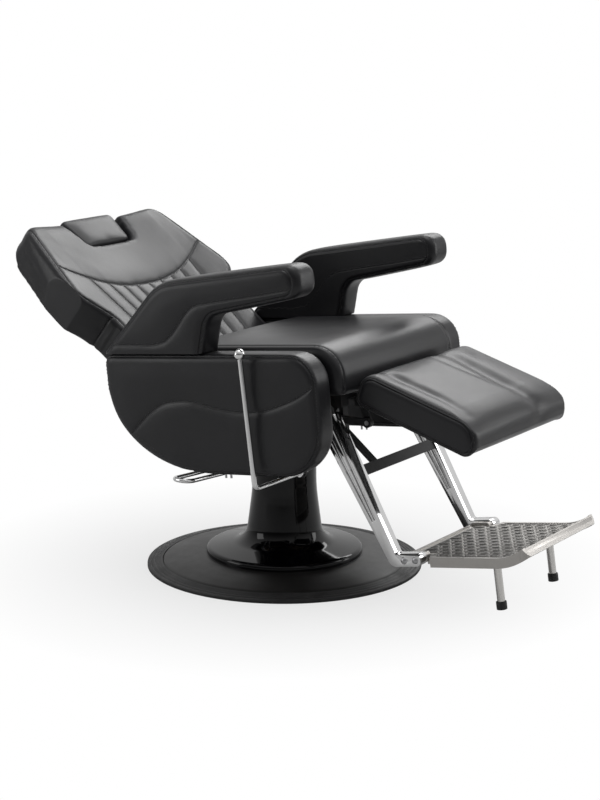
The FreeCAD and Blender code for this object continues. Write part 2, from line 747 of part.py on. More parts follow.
def panel_solid():
    """D-shaped padded panel: level top, rounded front, and a long sweep at the back."""
    x = PANEL_INNER
    centre = vector(x, 0, PANEL_BOTTOM + PANEL_SWEEP)
    sweep = Part.Ellipse(vector(x, PANEL_REAR, centre.z), vector(x, 0, PANEL_BOTTOM), centre)
    if PANEL_REAR < PANEL_SWEEP:
        sweep = Part.Ellipse(vector(x, 0, PANEL_BOTTOM), vector(x, PANEL_REAR, centre.z), centre)
    rear = vector(x, PANEL_REAR, centre.z)
    foot = vector(x, 0, PANEL_BOTTOM)
    start, end = sorted((sweep.parameter(rear), sweep.parameter(foot)))
    if end - start > math.pi:
        start, end = end, start + 2 * math.pi
    arc = Part.ArcOfEllipse(sweep, start, end).toShape()
    front = outline_edges([
        (foot, 0), (vector(x, -PANEL_FRONT, PANEL_BOTTOM), PANEL_FRONT_LOW_ROUND),
        (vector(x, -PANEL_FRONT, PANEL_TOP), PANEL_FRONT_TOP_ROUND),
        (vector(x, PANEL_REAR, PANEL_TOP), PANEL_REAR_TOP_ROUND), (rear, 0),
    ], False)
    face = Part.Face(Part.Wire(Part.__sortEdges__(front + [arc])))
    panel = face.extrude(vector(PANEL_THICKNESS, 0, 0))
    return softened(panel, PANEL_EDGE, lambda edge: at_side(edge, PANEL_OUTER) or at_side(edge, PANEL_INNER))


def arm_outline():
    """Side-view corners of an armrest, from its foot at the back round to the front of its post."""
    base = PANEL_TOP
    shoulder = meet((ARM_REAR, base), 180 - ARM_REAR_SLOPE, (0, base + ARM_RISE), -ARM_TOP_SLOPE)
    tip_top = meet(shoulder, -ARM_TOP_SLOPE, (-ARM_FRONT, base), 90)
    tip_low = (-ARM_FRONT, tip_top[1] - ARM_TIP_THICKNESS)
    crotch = meet(tip_low, -ARM_UNDER_SLOPE, (-ARM_POST_FRONT, base), 90 + ARM_POST_LEAN)
    return [
        (ARM_REAR, base, 0), (shoulder[0], shoulder[1], ARM_SHOULDER_ROUND), (*tip_top, ARM_TIP_ROUND),
        (*tip_low, ARM_TIP_ROUND), (*crotch, ARM_CROTCH_ROUND), (-ARM_POST_FRONT, base, 0),
    ]


def arm_stud(y, grow):
    """Upright stud that holds an armrest to its panel."""
    low = vector(PANEL_MIDDLE, y, PANEL_TOP - ARM_STUD_DEPTH)
    high = vector(PANEL_MIDDLE, y, PANEL_TOP + ARM_STUD_DEPTH)
    return rod(low, high, ARM_STUD_RADIUS + grow)


def side_panel():
    """Side panel, drilled for the armrest's studs."""
    panel = panel_solid()
    for y in ARM_STUD_PLACES:
        panel = panel.cut(arm_stud(y, RUN))
    return placed(panel, SEAT)


def armrest():
    """Hook-shaped padded armrest on the panel's top edge."""
    inner = PANEL_MIDDLE - ARM_WIDTH / 2
    outer = PANEL_MIDDLE + ARM_WIDTH / 2
    arm = side_prism(arm_outline(), inner, outer)
    arm = softened(arm, ARM_EDGE, lambda edge: (at_side(edge, inner) or at_side(edge, outer))
                   and not at_height(edge, PANEL_TOP))
    for y in ARM_STUD_PLACES:
        arm = arm.cut(arm_stud(y, RUN))
    return placed(arm, SEAT)


def armrest_studs():
    """Studs inside the armrests and panels."""
    studs = Part.makeCompound([arm_stud(y, 0) for y in ARM_STUD_PLACES])
    return placed(both_sides(studs), SEAT)


def panel_studs():
    """Thin stud ends that hang under each panel."""
    drop = vector(0, 0, STUD_LENGTH)
    tops = [vector(PANEL_MIDDLE, y, PANEL_BOTTOM) for y in STUD_PLACES]
    studs = [rod(top - drop, top, STUD_RADIUS) for top in tops]
    return placed(both_sides(Part.makeCompound(studs)), SEAT)


# Leg castings and footplate


def leg_arm():
    """Fluted leg casting with a bracket at its foot for the footplate's bolts."""
    top = (HEEL_DROP + RAIL_TOP) / math.cos(math.radians(LEG_LEAN)) + LEG_TOP_WIDTH
    taper = math.degrees(math.atan((LEG_TOP_WIDTH - LEG_FOOT_WIDTH) / 2 / top))
    up = 90 - LEG_LEAN
    lean = math.radians(LEG_LEAN)
    half_y, half_z = math.cos(lean), -math.sin(lean)
    heel = leg_line(0)
    high = leg_line(top)
    rear_top = (high[0] + half_y * LEG_TOP_WIDTH / 2, high[1] + half_z * LEG_TOP_WIDTH / 2)
    front_top = (high[0] - half_y * LEG_TOP_WIDTH / 2, high[1] - half_z * LEG_TOP_WIDTH / 2)
    tilt = math.radians(BRACKET_TILT)
    end_y, end_z = heel[0] - BRACKET_LENGTH * math.cos(tilt), heel[1] + BRACKET_LENGTH * math.sin(tilt)
    rise_y, rise_z = BRACKET_HEIGHT / 2 * math.sin(tilt), BRACKET_HEIGHT / 2 * math.cos(tilt)
    end_top = (end_y + rise_y, end_z + rise_z)
    end_low = (end_y - rise_y, end_z - rise_z)
    instep = meet(front_top, up + taper, end_top, -BRACKET_TILT)
    sole = meet(rear_top, up - taper, end_low, -BRACKET_TILT)
    leg = side_prism([
        (*rear_top, 0), (*front_top, 0), (*instep, LEG_INSTEP_ROUND),
        (*end_top, BRACKET_ROUND), (*end_low, BRACKET_ROUND), (*sole, LEG_HEEL_ROUND),
    ], RAIL_OUTER, LEG_OUTER)
    above = block((RAIL_OUTER, -RAIL_FRONT * 2, RAIL_TOP),
                  (LEG_OUTER, RAIL_REAR, RAIL_TOP + LEG_TOP_WIDTH * 4))
    leg = leg.cut(above)
    for face, out in ((LEG_OUTER, 1), (RAIL_OUTER, -1)):
        x = face + out * (FLUTE_RADIUS - FLUTE_DEPTH)
        for side in (-1, 1):
            spread = side * FLUTE_SPREAD
            flute_top = (HEEL_DROP + RAIL_BOTTOM) / math.cos(lean) - LEG_TOP_WIDTH / 2
            low_y, low_z = leg_line(FLUTE_FOOT)
            high_y, high_z = leg_line(flute_top)
            low = vector(x, low_y + half_y * spread / 3, low_z + half_z * spread / 3)
            high = vector(x, high_y + half_y * spread, high_z + half_z * spread)
            leg = leg.cut(rod(low, high, FLUTE_RADIUS - FLUTE_DEPTH * 0.7, FLUTE_RADIUS))
    for y, z in leg_bolt_places():
        leg = leg.cut(across(y, z, RAIL_OUTER, LEG_OUTER, LEG_BOLT_RADIUS + RUN))
    leg = placed(leg, SEAT)
    for along in (PIVOT_ALONG_BRACKET, STOP_ALONG_BRACKET):
        hole = across(-along, 0, RAIL_OUTER, LEG_OUTER, PLATE_BOLT_RADIUS + RUN)
        leg = leg.cut(placed(hole, BRACKET))
    return leg


def leg_bolts():
    """Bolts through the legs into the seat rails."""
    bolts = []
    for y, z in leg_bolt_places():
        shank = across(y, z, RAIL_INNER, LEG_OUTER, LEG_BOLT_RADIUS)
        head = across(y, z, LEG_OUTER, LEG_OUTER + LEG_BOLT_HEAD_HEIGHT, LEG_BOLT_HEAD)
        bolts.append(shank.fuse(head).removeSplitter())
    return placed(both_sides(Part.makeCompound(bolts)), SEAT)


def leg_frame(along, forward):
    """Frame on the leg's centre line: its Z runs up the leg and its -Y points forward."""
    y, z = leg_line(along)
    lean = math.radians(LEG_LEAN)
    at = vector(0, y - forward * math.cos(lean), z + forward * math.sin(lean))
    return SEAT * turned(-LEG_LEAN, at)


def leg_cross_bar():
    """Flat bar between the two legs."""
    bar = block((-RAIL_OUTER, -CROSS_BAR_THICKNESS / 2, -CROSS_BAR_HEIGHT / 2),
                (RAIL_OUTER, CROSS_BAR_THICKNESS / 2, CROSS_BAR_HEIGHT / 2))
    return placed(bar, leg_frame(CROSS_BAR_ALONG, CROSS_BAR_FORWARD))


def leg_brace():
    """Bent flat bar from the front cross tube down to the cross bar."""
    bar_at = SEAT.inverse().multVec(leg_frame(CROSS_BAR_ALONG, CROSS_BAR_FORWARD).Base)
    hang = TUBE_DEPTH + BRACE_THICKNESS / 2 - RAIL_FRONT
    top = (hang, TUBE_BOTTOM + TUBE_HEIGHT / 2)
    knee = (hang, TUBE_BOTTOM - BRACE_DROP)
    run = math.hypot(bar_at.y - knee[0], bar_at.z - knee[1])
    side = BRACE_THICKNESS / 2
    out_y, out_z = (bar_at.y - knee[0]) / run, (bar_at.z - knee[1]) / run
    off_y, off_z = out_z * side, -out_y * side
    upper = (knee[0] + off_y, knee[1] + off_z)
    lower = (knee[0] - off_y, knee[1] - off_z)
    slope = math.degrees(math.atan2(out_z, out_y))
    front_knee = meet((hang - side, top[1]), 90, upper, slope)
    rear_knee = meet((hang + side, top[1]), 90, lower, slope)
    brace = side_prism([
        (hang + side, top[1], 0), (hang - side, top[1], 0), (*front_knee, side),
        (bar_at.y + off_y, bar_at.z + off_z, 0), (bar_at.y - off_y, bar_at.z - off_z, 0),
        (*rear_knee, side + BRACE_THICKNESS),
    ], BRACE_ACROSS - BRACE_WIDTH / 2, BRACE_ACROSS + BRACE_WIDTH / 2)
    brace = placed(brace, SEAT).cut(leg_cross_bar())
    return max(brace.Solids, key=lambda solid: solid.Volume)


def bracket_bolts():
    """Domed pivot and stop bolts of the footplate, fixed in the leg brackets."""
    bolts = []
    dome = (PLATE_BOLT_HEAD ** 2 + PLATE_BOLT_DOME ** 2) / (2 * PLATE_BOLT_DOME)
    for along in (PIVOT_ALONG_BRACKET, STOP_ALONG_BRACKET):
        shank = across(-along, 0, PLATE_REAR_HALF + AIR, LEG_OUTER, PLATE_BOLT_RADIUS)
        ball = Part.makeSphere(dome, vector(LEG_OUTER + PLATE_BOLT_DOME - dome, -along, 0))
        cap = ball.common(across(-along, 0, LEG_OUTER, LEG_OUTER + PLATE_BOLT_DOME, PLATE_BOLT_HEAD))
        bolts.append(shank.fuse(cap).removeSplitter())
    return placed(both_sides(Part.makeCompound(bolts)), BRACKET)


def plate_band(top, bottom):
    """Side-view band of the footplate between two depths, flat and then turned up at the front."""
    centre_y, centre_z = -PLATE_FLAT, PLATE_TOP + PLATE_LIP_RADIUS
    turn = math.radians(PLATE_LIP_TURN)
    x = -PLATE_HALF_WIDTH

    def on_lip(depth, share):
        radius = PLATE_LIP_RADIUS + depth
        angle = turn * share
        return vector(x, centre_y - radius * math.sin(angle), centre_z - radius * math.cos(angle))

    rear_top = vector(x, PLATE_REAR, PLATE_TOP - top)
    rear_low = vector(x, PLATE_REAR, PLATE_TOP - bottom)
    wire = Part.Wire([
        Part.makeLine(rear_top, on_lip(top, 0)),
        Part.Arc(on_lip(top, 0), on_lip(top, 0.5), on_lip(top, 1)).toShape(),
        Part.makeLine(on_lip(top, 1), on_lip(bottom, 1)),
        Part.Arc(on_lip(bottom, 1), on_lip(bottom, 0.5), on_lip(bottom, 0)).toShape(),
        Part.makeLine(on_lip(bottom, 0), rear_low),
        Part.makeLine(rear_low, rear_top),
    ])
    return Part.Face(wire).extrude(vector(2 * PLATE_HALF_WIDTH, 0, 0))


def plate_plan(inset):
    """Plan of the footplate: narrow between the brackets, full width in front of them."""
    shoulder = BRACKET_LENGTH - PIVOT_ALONG_BRACKET + PLATE_BOLT_DOME
    front = PLATE_FLAT + (PLATE_LIP_RADIUS + PLATE_DEPTH) * math.sin(math.radians(PLATE_LIP_TURN)) - inset
    corner = max(PLATE_CORNER - inset, PLATE_CORNER / 4)
    return plan_prism(symmetric([
        (PLATE_REAR_HALF - inset, PLATE_REAR - inset, 0),
        (PLATE_REAR_HALF - inset, -shoulder - inset, 0),
        (PLATE_HALF_WIDTH - inset, -shoulder - PLATE_SHOULDER - inset, 0),
        (PLATE_HALF_WIDTH - inset, -front, corner),
    ]), PLATE_TOP - PLATE_DEPTH - PLATE_LIP_RADIUS, PLATE_TOP + PLATE_LIP_RADIUS)


def foot_plate():
    """Cast footplate: thin skin, deep rim, sunk tread field, and lugs on the pivot bolts."""
    plate = plate_band(0, PLATE_DEPTH).common(plate_plan(0))
    plate = plate.cut(plate_band(PLATE_SKIN, PLATE_DEPTH + PLATE_WALL).common(plate_plan(PLATE_WALL)))
    plate = plate.cut(plate_band(-PLATE_SKIN, TREAD_RECESS).common(plate_plan(TREAD_BORDER)))
    stop = STOP_ALONG_BRACKET - PIVOT_ALONG_BRACKET
    lug_end = stop + LUG_RADIUS
    lug_out = RAIL_OUTER - AIR
    notch = PLATE_BOLT_RADIUS + AIR
    lug_in = PLATE_REAR_HALF - PLATE_WALL
    for side in (-1, 1):
        lug = side_prism([
            (LUG_RADIUS, LUG_RADIUS, LUG_RADIUS * 0.9), (-lug_end, LUG_RADIUS, LUG_RADIUS / 2),
            (-lug_end, -LUG_RADIUS, LUG_RADIUS / 2), (LUG_RADIUS, -LUG_RADIUS, LUG_RADIUS * 0.9),
        ], side * lug_in, side * lug_out)
        plate = plate.fuse(lug)
    plate = plate.removeSplitter()
    stop_at = PLATE.inverse().multVec(BRACKET.multVec(vector(0, -STOP_ALONG_BRACKET, 0)))
    for side in (-1, 1):
        inside, outside = side * (lug_in - PLATE_WALL), side * (lug_out + AIR)
        plate = plate.cut(across(0, 0, inside, outside, PLATE_BOLT_RADIUS + RUN))
        plate = plate.cut(across(stop_at.y, stop_at.z, inside, outside, notch))
        slot = side_prism([
            (stop_at.y - notch, stop_at.z, 0), (stop_at.y - notch, stop_at.z - PLATE_DEPTH, 0),
            (stop_at.y + notch + PLATE_BOLT_RADIUS, stop_at.z - PLATE_DEPTH, 0),
            (stop_at.y + notch, stop_at.z, 0),
        ], inside, outside)
        plate = plate.cut(slot)
    return placed(plate, PLATE)


def plate_legs():
    """Two tubes that prop the footplate's front above the floor."""
    top = vector(PLATE_LEG_ACROSS, -PLATE_LEG_FORWARD, PLATE_TOP - PLATE_SKIN)
    foot = vector(PLATE_LEG_ACROSS, -PLATE_LEG_FORWARD, FOOT_SOLE - PLATE_LEG_LENGTH)
    return placed(both_sides(rod(foot, top, PLATE_LEG_RADIUS)), PLATE)


def plate_feet():
    """Rubber tips on the footplate's legs."""
    low = vector(PLATE_LEG_ACROSS, -PLATE_LEG_FORWARD, -PLATE_LEG_LENGTH)
    high = low + vector(0, 0, FOOT_HEIGHT)
    tip = rod(low, high, FOOT_RADIUS).cut(rod(low + vector(0, 0, FOOT_SOLE), high, PLATE_LEG_RADIUS + RUN))
    return placed(both_sides(tip), PLATE)


# Back


def back_outline(inset, top_inset, start):
    """Plan of the back, in its own frame: narrow at the seat, wide shoulders, rounded top corners."""
    return symmetric([
        (BACK_LOW_HALF - inset, start + inset, BACK_LOW_ROUND),
        (BACK_WAIST_HALF - inset, BACK_WAIST + inset / 2, BACK_WAIST_ROUND),
        (BACK_SHOULDER_HALF - inset, BACK_SHOULDER, BACK_SHOULDER_ROUND),
        (BACK_TOP_HALF - inset, BACK_LENGTH - top_inset, BACK_TOP_ROUND),
    ])


def back_arm():
    """Flat steel arm from the recline shaft up behind the board."""
    start = RAIL_OUTER + 2 * AIR
    end = start + BACK_ARM_THICKNESS
    strip = block((start, 0, BACK_BOARD_REAR - BACK_ARM_DEPTH), (end, BACK_ARM_LENGTH, BACK_BOARD_REAR))
    arm = strip.fuse(across(0, 0, start, end, HINGE_EYE)).removeSplitter()
    arm = arm.cut(across(0, 0, start, end, SHAFT_RADIUS + RUN))
    return placed(arm, BACK)


def recline_shaft():
    """Shaft that turns in the rails' lugs and carries the back's arms and cranks."""
    end = RAIL_OUTER + 2 * AIR + BACK_ARM_THICKNESS
    return placed(across(0, 0, -end, end, SHAFT_RADIUS), BACK)


def back_cross_tube():
    """Round tube that ties the two back arms together."""
    reach = RAIL_OUTER + 2 * AIR
    middle = BACK_BOARD_REAR - BACK_ARM_DEPTH / 2
    return placed(across(BACK_TUBE_ALONG, middle, -reach, reach, BACK_TUBE_RADIUS), BACK)


def notch_block(bottom, top):
    """Space of the headrest's notch, open at the top of the back."""
    over = BACK_LENGTH + NOTCH_ROUND
    slope = (NOTCH_TOP_HALF - NOTCH_FOOT_HALF) / (BACK_LENGTH - NOTCH_FOOT)
    wide = NOTCH_FOOT_HALF + slope * (over - NOTCH_FOOT)
    return plan_prism(symmetric([(NOTCH_FOOT_HALF, NOTCH_FOOT, NOTCH_ROUND), (wide, over, 0)]), bottom, top)


def top_gap(bottom, top):
    """Space over the lowered top edge behind the headrest, where its posts turn forward."""
    low = BACK_LENGTH - NOTCH_LIP
    return block((-NOTCH_TOP_HALF, low, bottom), (NOTCH_TOP_HALF, BACK_LENGTH + NOTCH_ROUND, top))


def back_board():
    """Plywood between the back's cushion and its rear shell."""
    edge = back_outline(BACK_BOARD_INSET, BACK_BOARD_INSET, BACK_START)
    board = plan_prism(edge, BACK_BOARD_REAR, BACK_BOARD_FACE)
    return placed(board.cut(top_gap(BACK_BOARD_REAR, BACK_BOARD_FACE)), BACK)


def back_cushion():
    """Back cushion, dished from side to side, notched at the top for the headrest."""
    cushion = plan_prism(back_outline(0, 0, BACK_CUSHION_START), BACK_BOARD_FACE, BACK_FRONT)
    low = BACK_CUSHION_START + SMALL
    cushion = softened(cushion, BACK_EDGE,
                       lambda edge: at_height(edge, BACK_FRONT) and edge.BoundBox.YMax > low)
    dish = (BACK_SHOULDER_HALF ** 2 + BACK_DISH ** 2) / (2 * BACK_DISH)
    axis = BACK_FRONT - BACK_DISH + dish
    hollow = rod(vector(0, 0, axis), vector(0, BACK_LENGTH, axis), dish)
    cushion = cushion.cut(hollow).cut(notch_block(BACK_BOARD_FACE, BACK_FRONT))
    inside = BACK_BOARD_FACE + SMALL
    cushion = softened(cushion, BACK_LOW_EDGE,
                       lambda edge: edge.BoundBox.YMax < low and edge.BoundBox.ZMin > inside)
    return placed(cushion, BACK)


def shell_form(inset):
    """Outside of the rear shell, or its cavity when drawn in by the wall."""
    depth = SHELL_DEPTH - inset
    top_depth = SHELL_TOP_DEPTH
    body = plan_prism(back_outline(inset, inset, BACK_START), -depth, BACK_BOARD_REAR)
    profile = side_prism([
        (BACK_START + inset, BACK_BOARD_REAR, 0), (BACK_START + inset, -depth, BACK_LOW_ROUND),
        (SHELL_SLOPE_START - inset, -depth, SHELL_SLOPE_BEND),
        (BACK_LENGTH - inset, -top_depth, 0), (BACK_LENGTH - inset, BACK_BOARD_REAR, 0),
    ], -BACK_SHOULDER_HALF, BACK_SHOULDER_HALF)
    bulge = (BACK_SHOULDER_HALF ** 2 + SHELL_CROWN ** 2) / (2 * SHELL_CROWN)
    barrel = rod(vector(0, 0, bulge - depth), vector(0, BACK_LENGTH, bulge - depth), bulge)
    return body.common(profile).common(barrel)


def post_line(height):
    """Where the headrest's posts run inside the shell, and a point along them."""
    return vector(POST_ACROSS, height, BACK_BOARD_REAR - SLEEVE_HALF)


def back_shell():
    """Hollow rear shell, open to the arms at its foot and to the headrest's posts at its top."""
    cavity = shell_form(SHELL_WALL)
    shell = shell_form(0).cut(cavity).cut(top_gap(-SHELL_DEPTH, BACK_BOARD_REAR))
    arm_start = RAIL_OUTER + 2 * AIR
    for side in (-1, 1):
        slot = block((arm_start - AIR, 0, BACK_BOARD_REAR - BACK_ARM_DEPTH - AIR),
                     (arm_start + BACK_ARM_THICKNESS + AIR, BACK_START + SHELL_WALL * 2, BACK_BOARD_REAR))
        shell = shell.cut(slot if side > 0 else mirrored(slot))
    wall_top = BACK_LENGTH - NOTCH_LIP
    reach = NOTCH_TOP_HALF + SHELL_WALL
    closing = block((-reach, wall_top - SHELL_WALL, -SHELL_DEPTH), (reach, wall_top, BACK_BOARD_REAR))
    shell = shell.fuse(closing.common(shell_form(0))).removeSplitter()
    for side in (-1, 1):
        hole = rod(post_line(HEADREST_FOOT), post_line(BACK_LENGTH), POST_RADIUS + AIR)
        shell = shell.cut(hole if side > 0 else mirrored(hole))
    return placed(shell, BACK)


def headrest_sleeves():
    """Guide blocks on the board's rear face, bored for the headrest's posts."""
    top = BACK_LENGTH - SLEEVE_TOP_GAP
    low = top - SLEEVE_LENGTH
    middle = BACK_BOARD_REAR - SLEEVE_HALF
    sleeve = block((POST_ACROSS - SLEEVE_HALF, low, middle - SLEEVE_HALF),
                   (POST_ACROSS + SLEEVE_HALF, top, BACK_BOARD_REAR))
    sleeve = sleeve.cut(rod(post_line(low), post_line(top), POST_RADIUS + RUN))
    return placed(both_sides(sleeve), BACK)


def headrest_pad():
    """Small wedge-sided pad in the notch at the top of the back."""
    low = BACK_BOARD_FACE + AIR
    pad = plan_prism(symmetric([
        (HEADREST_FOOT_HALF, HEADREST_FOOT, HEADREST_ROUND),
        (HEADREST_TOP_HALF, HEADREST_TOP, HEADREST_ROUND),
    ]), low, low + HEADREST_THICKNESS)
    pad = softened(pad, HEADREST_EDGE, lambda edge: at_height(edge, low + HEADREST_THICKNESS))
    return placed(pad, BACK)


def headrest_posts():
    """Bent posts that slide in the sleeves and turn forward into the pad."""
    turn = BACK_LENGTH - NOTCH_LIP + POST_RADIUS + 2 * AIR
    foot = post_line(POST_FOOT)
    bend = post_line(turn)
    end = vector(POST_ACROSS, turn, BACK_BOARD_FACE + AIR)
    post = rod(foot, bend, POST_RADIUS).fuse(Part.makeSphere(POST_RADIUS, bend))
    post = post.fuse(rod(bend, end, POST_RADIUS))
    return placed(both_sides(post.removeSplitter()), BACK)


# Recline linkage


def crank_vector(radius):
    """Crank arm in the chair's frame at rest, as far before its middle position as it ends after."""
    half = math.radians(RECLINE_TRAVEL / 2)
    return vector(0, -radius * math.sin(half), -radius * math.cos(half))


def crank(at, radius, start, end, shaft):
    """Crank plate between a shaft and its pin, in the chair's frame."""
    pin = at + crank_vector(radius)
    arm = crank_vector(radius).normalize()
    side = X_AXIS.cross(arm) * (CRANK_EYE * 0.8)
    corners = [at + side, pin + side, pin - side, at - side]
    plate = side_prism([(corner.y, corner.z, 0) for corner in corners], start, end)
    plate = plate.fuse(across(at.y, at.z, start, end, shaft + CRANK_EYE / 2))
    plate = plate.fuse(across(pin.y, pin.z, start, end, CRANK_EYE)).removeSplitter()
    plate = plate.cut(across(at.y, at.z, start, end, shaft + RUN))
    return plate.cut(across(pin.y, pin.z, start, end, CRANK_PIN_RADIUS + RUN))


def lock_start():
    """Inner face of the lock's own crank, beside the rod's end."""
    return LOCK_ACROSS - LOCK_END_THICKNESS / 2 - 2 * AIR - CRANK_THICKNESS


def crank_plates():
    """Cranks on the recline shaft: one for each drag link, one for the lock."""
    link_crank = crank(BACK.Base, CRANK_RADIUS, CRANK_INNER, CRANK_INNER + CRANK_THICKNESS, SHAFT_RADIUS)
    start = lock_start()
    lock_crank = crank(BACK.Base, LOCK_CRANK_RADIUS, start, start + CRANK_THICKNESS, SHAFT_RADIUS)
    return Part.makeCompound([link_crank, mirrored(link_crank), lock_crank])


def crank_pins():
    """Pins in the back's cranks that the drag links and the lock rod turn on."""
    pin = BACK.Base + crank_vector(CRANK_RADIUS)
    link_pin = across(pin.y, pin.z, CRANK_INNER, LINK_INNER + LINK_THICKNESS + 2 * AIR, CRANK_PIN_RADIUS)
    pin = BACK.Base + crank_vector(LOCK_CRANK_RADIUS)
    lock_pin = across(pin.y, pin.z, lock_start(), LOCK_ACROSS + LOCK_END_THICKNESS, CRANK_PIN_RADIUS)
    return Part.makeCompound([link_pin, mirrored(link_pin), lock_pin])


def drag_link():
    """Flat link from the back's crank to the calf rest's crank."""
    rear = BACK.Base + crank_vector(CRANK_RADIUS)
    front = CALF.Base + crank_vector(CRANK_RADIUS)
    run = (front - rear).normalize()
    side = X_AXIS.cross(run) * (LINK_HEIGHT / 2)
    corners = [rear + side, front + side, front - side, rear - side]
    start, end = LINK_INNER, LINK_INNER + LINK_THICKNESS
    link = side_prism([(corner.y, corner.z, 0) for corner in corners], start, end)
    for eye in (rear, front):
        link = link.fuse(across(eye.y, eye.z, start, end, CRANK_EYE))
    link = link.removeSplitter()
    link = link.cut(across(rear.y, rear.z, start, end, CRANK_PIN_RADIUS + RUN))
    return link.cut(across(front.y, front.z, start, end, CRANK_PIN_RADIUS + AIR))


def lock_axis_height():
    """Height of the lock rod, midway in the swing of its crank pin."""
    half = math.radians(RECLINE_TRAVEL / 2)
    return BACK.Base.z - LOCK_CRANK_RADIUS * (1 + math.cos(half)) / 2


def lock_body_end():
    """Rear end of the lock's cylinder, along Y."""
    return (BACK.Base + crank_vector(LOCK_CRANK_RADIUS)).y - LOCK_BODY_GAP


def lock_cylinder():
    """Hydraulic lock under the seat, bored for its rod."""
    z = lock_axis_height()
    rear = vector(LOCK_ACROSS, lock_body_end(), z)
    front = rear - vector(0, LOCK_BODY_LENGTH, 0)
    inner = rear - vector(0, LOCK_ROD_LENGTH, 0)
    return rod(front, rear, LOCK_BODY_RADIUS).cut(rod(inner, rear, LOCK_ROD_RADIUS + RUN))


def lock_rod():
    """Lock rod with a slotted end round the crank's pin."""
    pin = BACK.Base + crank_vector(LOCK_CRANK_RADIUS)
    z = lock_axis_height()
    swing = LOCK_CRANK_RADIUS * (1 - math.cos(math.radians(RECLINE_TRAVEL / 2))) / 2
    eye = CRANK_PIN_RADIUS + AIR
    start, end = LOCK_ACROSS - LOCK_END_THICKNESS / 2, LOCK_ACROSS + LOCK_END_THICKNESS / 2
    half = LOCK_END_HEIGHT / 2
    tab = side_prism([
        (pin.y + half, z + half, half / 2), (pin.y - half, z + half, half / 2),
        (pin.y - half, z - half, half / 2), (pin.y + half, z - half, half / 2),
    ], start, end)
    slot_half = swing + eye
    slot = side_prism([
        (pin.y + eye, z + slot_half, 0), (pin.y - eye, z + slot_half, 0),
        (pin.y - eye, z - slot_half, 0), (pin.y + eye, z - slot_half, 0),
    ], start, end)
    neck = vector(LOCK_ACROSS, pin.y - half, z)
    bar = rod(vector(LOCK_ACROSS, pin.y - LOCK_ROD_LENGTH, z), neck, LOCK_ROD_RADIUS)
    return bar.fuse(tab).removeSplitter().cut(slot)


def lock_brackets():
    """Clamps that hang the lock's cylinder from the hub plate."""
    z = lock_axis_height()
    half = LOCK_CLAMP_LENGTH / 2
    over = block((-HUB_PLATE_HALF * 2, -HUB_PLATE_HALF * 2, HUB_PLATE_BOTTOM),
                 (HUB_PLATE_HALF * 2, HUB_PLATE_HALF * 2, HUB_PLATE_BOTTOM + SEAT_PIVOT_HEIGHT))
    clamps = []
    for middle in (-HUB_TUBE_OFFSET, HUB_TUBE_OFFSET):
        low, high = vector(LOCK_ACROSS, middle - half, z), vector(LOCK_ACROSS, middle + half, z)
        post = block((LOCK_ACROSS - half, low.y, z), (LOCK_ACROSS + half, high.y, SEAT_PIVOT_HEIGHT))
        post = post.cut(placed(over, SEAT))
        clamp = rod(low, high, LOCK_BODY_RADIUS + LOCK_CLAMP_WALL).fuse(post).removeSplitter()
        clamps.append(clamp.cut(rod(low, high, LOCK_BODY_RADIUS)))
    return Part.makeCompound(clamps)


# Calf rest


def calf_lug():
    """Lug on the front cross tube that carries one calf arm's pin."""
    end = CRANK_INNER - 2 * AIR
    start = end - CALF_LUG_THICKNESS
    at = (-CALF_PIVOT_FORWARD, -CALF_PIVOT_DROP)
    lug = across(*at, start, end, CALF_EYE)
    web = block((start, -CALF_PIVOT_FORWARD, -CALF_PIVOT_DROP - CALF_EYE),
                (end, -RAIL_FRONT, -CALF_PIVOT_DROP + CALF_EYE))
    lug = lug.fuse(web).removeSplitter().cut(across(*at, start, end, CALF_PIN_RADIUS + RUN))
    return placed(lug, SEAT)


def calf_pin():
    """Pin of one calf arm, fixed in its lug."""
    start = CRANK_INNER - 2 * AIR - CALF_LUG_THICKNESS
    end = CRANK_INNER + CRANK_THICKNESS
    return placed(across(0, 0, start, end, CALF_PIN_RADIUS), CALF)


def calf_arm():
    """Bell crank: a strip under the calf board, and a crank down to the drag link."""
    start, end = CRANK_INNER, CRANK_INNER + CRANK_THICKNESS
    strip = block((start, -CALF_ARM_REACH, CALF_BOTTOM - CALF_ARM_DEPTH), (end, CALF_EYE / 2, CALF_BOTTOM))
    neck = block((start, -CALF_EYE, 0), (end, CALF_EYE / 2, CALF_BOTTOM - CALF_ARM_DEPTH / 2))
    arm = placed(strip.fuse([neck, across(0, 0, start, end, CALF_EYE)]), CALF)
    arm = arm.fuse(crank(CALF.Base, CRANK_RADIUS, start, end, CALF_PIN_RADIUS)).removeSplitter()
    pin = CALF.Base + crank_vector(CRANK_RADIUS)
    arm = arm.cut(across(CALF.Base.y, CALF.Base.z, start, end, CALF_PIN_RADIUS + RUN))
    return arm.cut(across(pin.y, pin.z, start, end, CRANK_PIN_RADIUS + RUN))


def calf_crank_pin():
    """Pin in a calf arm's crank, which the drag link pushes."""
    pin = CALF.Base + crank_vector(CRANK_RADIUS)
    return across(pin.y, pin.z, CRANK_INNER, LINK_INNER + LINK_THICKNESS + 2 * AIR, CRANK_PIN_RADIUS)


def calf_board_block(grow):
    """Space of the board let into the calf pad's underside."""
    half = CALF_HALF_WIDTH - CALF_BOARD_INSET + grow
    return block((-half, CALF_BOARD_INSET - CALF_END - grow, CALF_BOTTOM),
                 (half, -CALF_START - CALF_BOARD_INSET + grow, CALF_BOTTOM + CALF_BOARD_THICKNESS + grow))


def calf_board():
    """Plywood let into the underside of the calf pad."""
    return placed(calf_board_block(0), CALF)


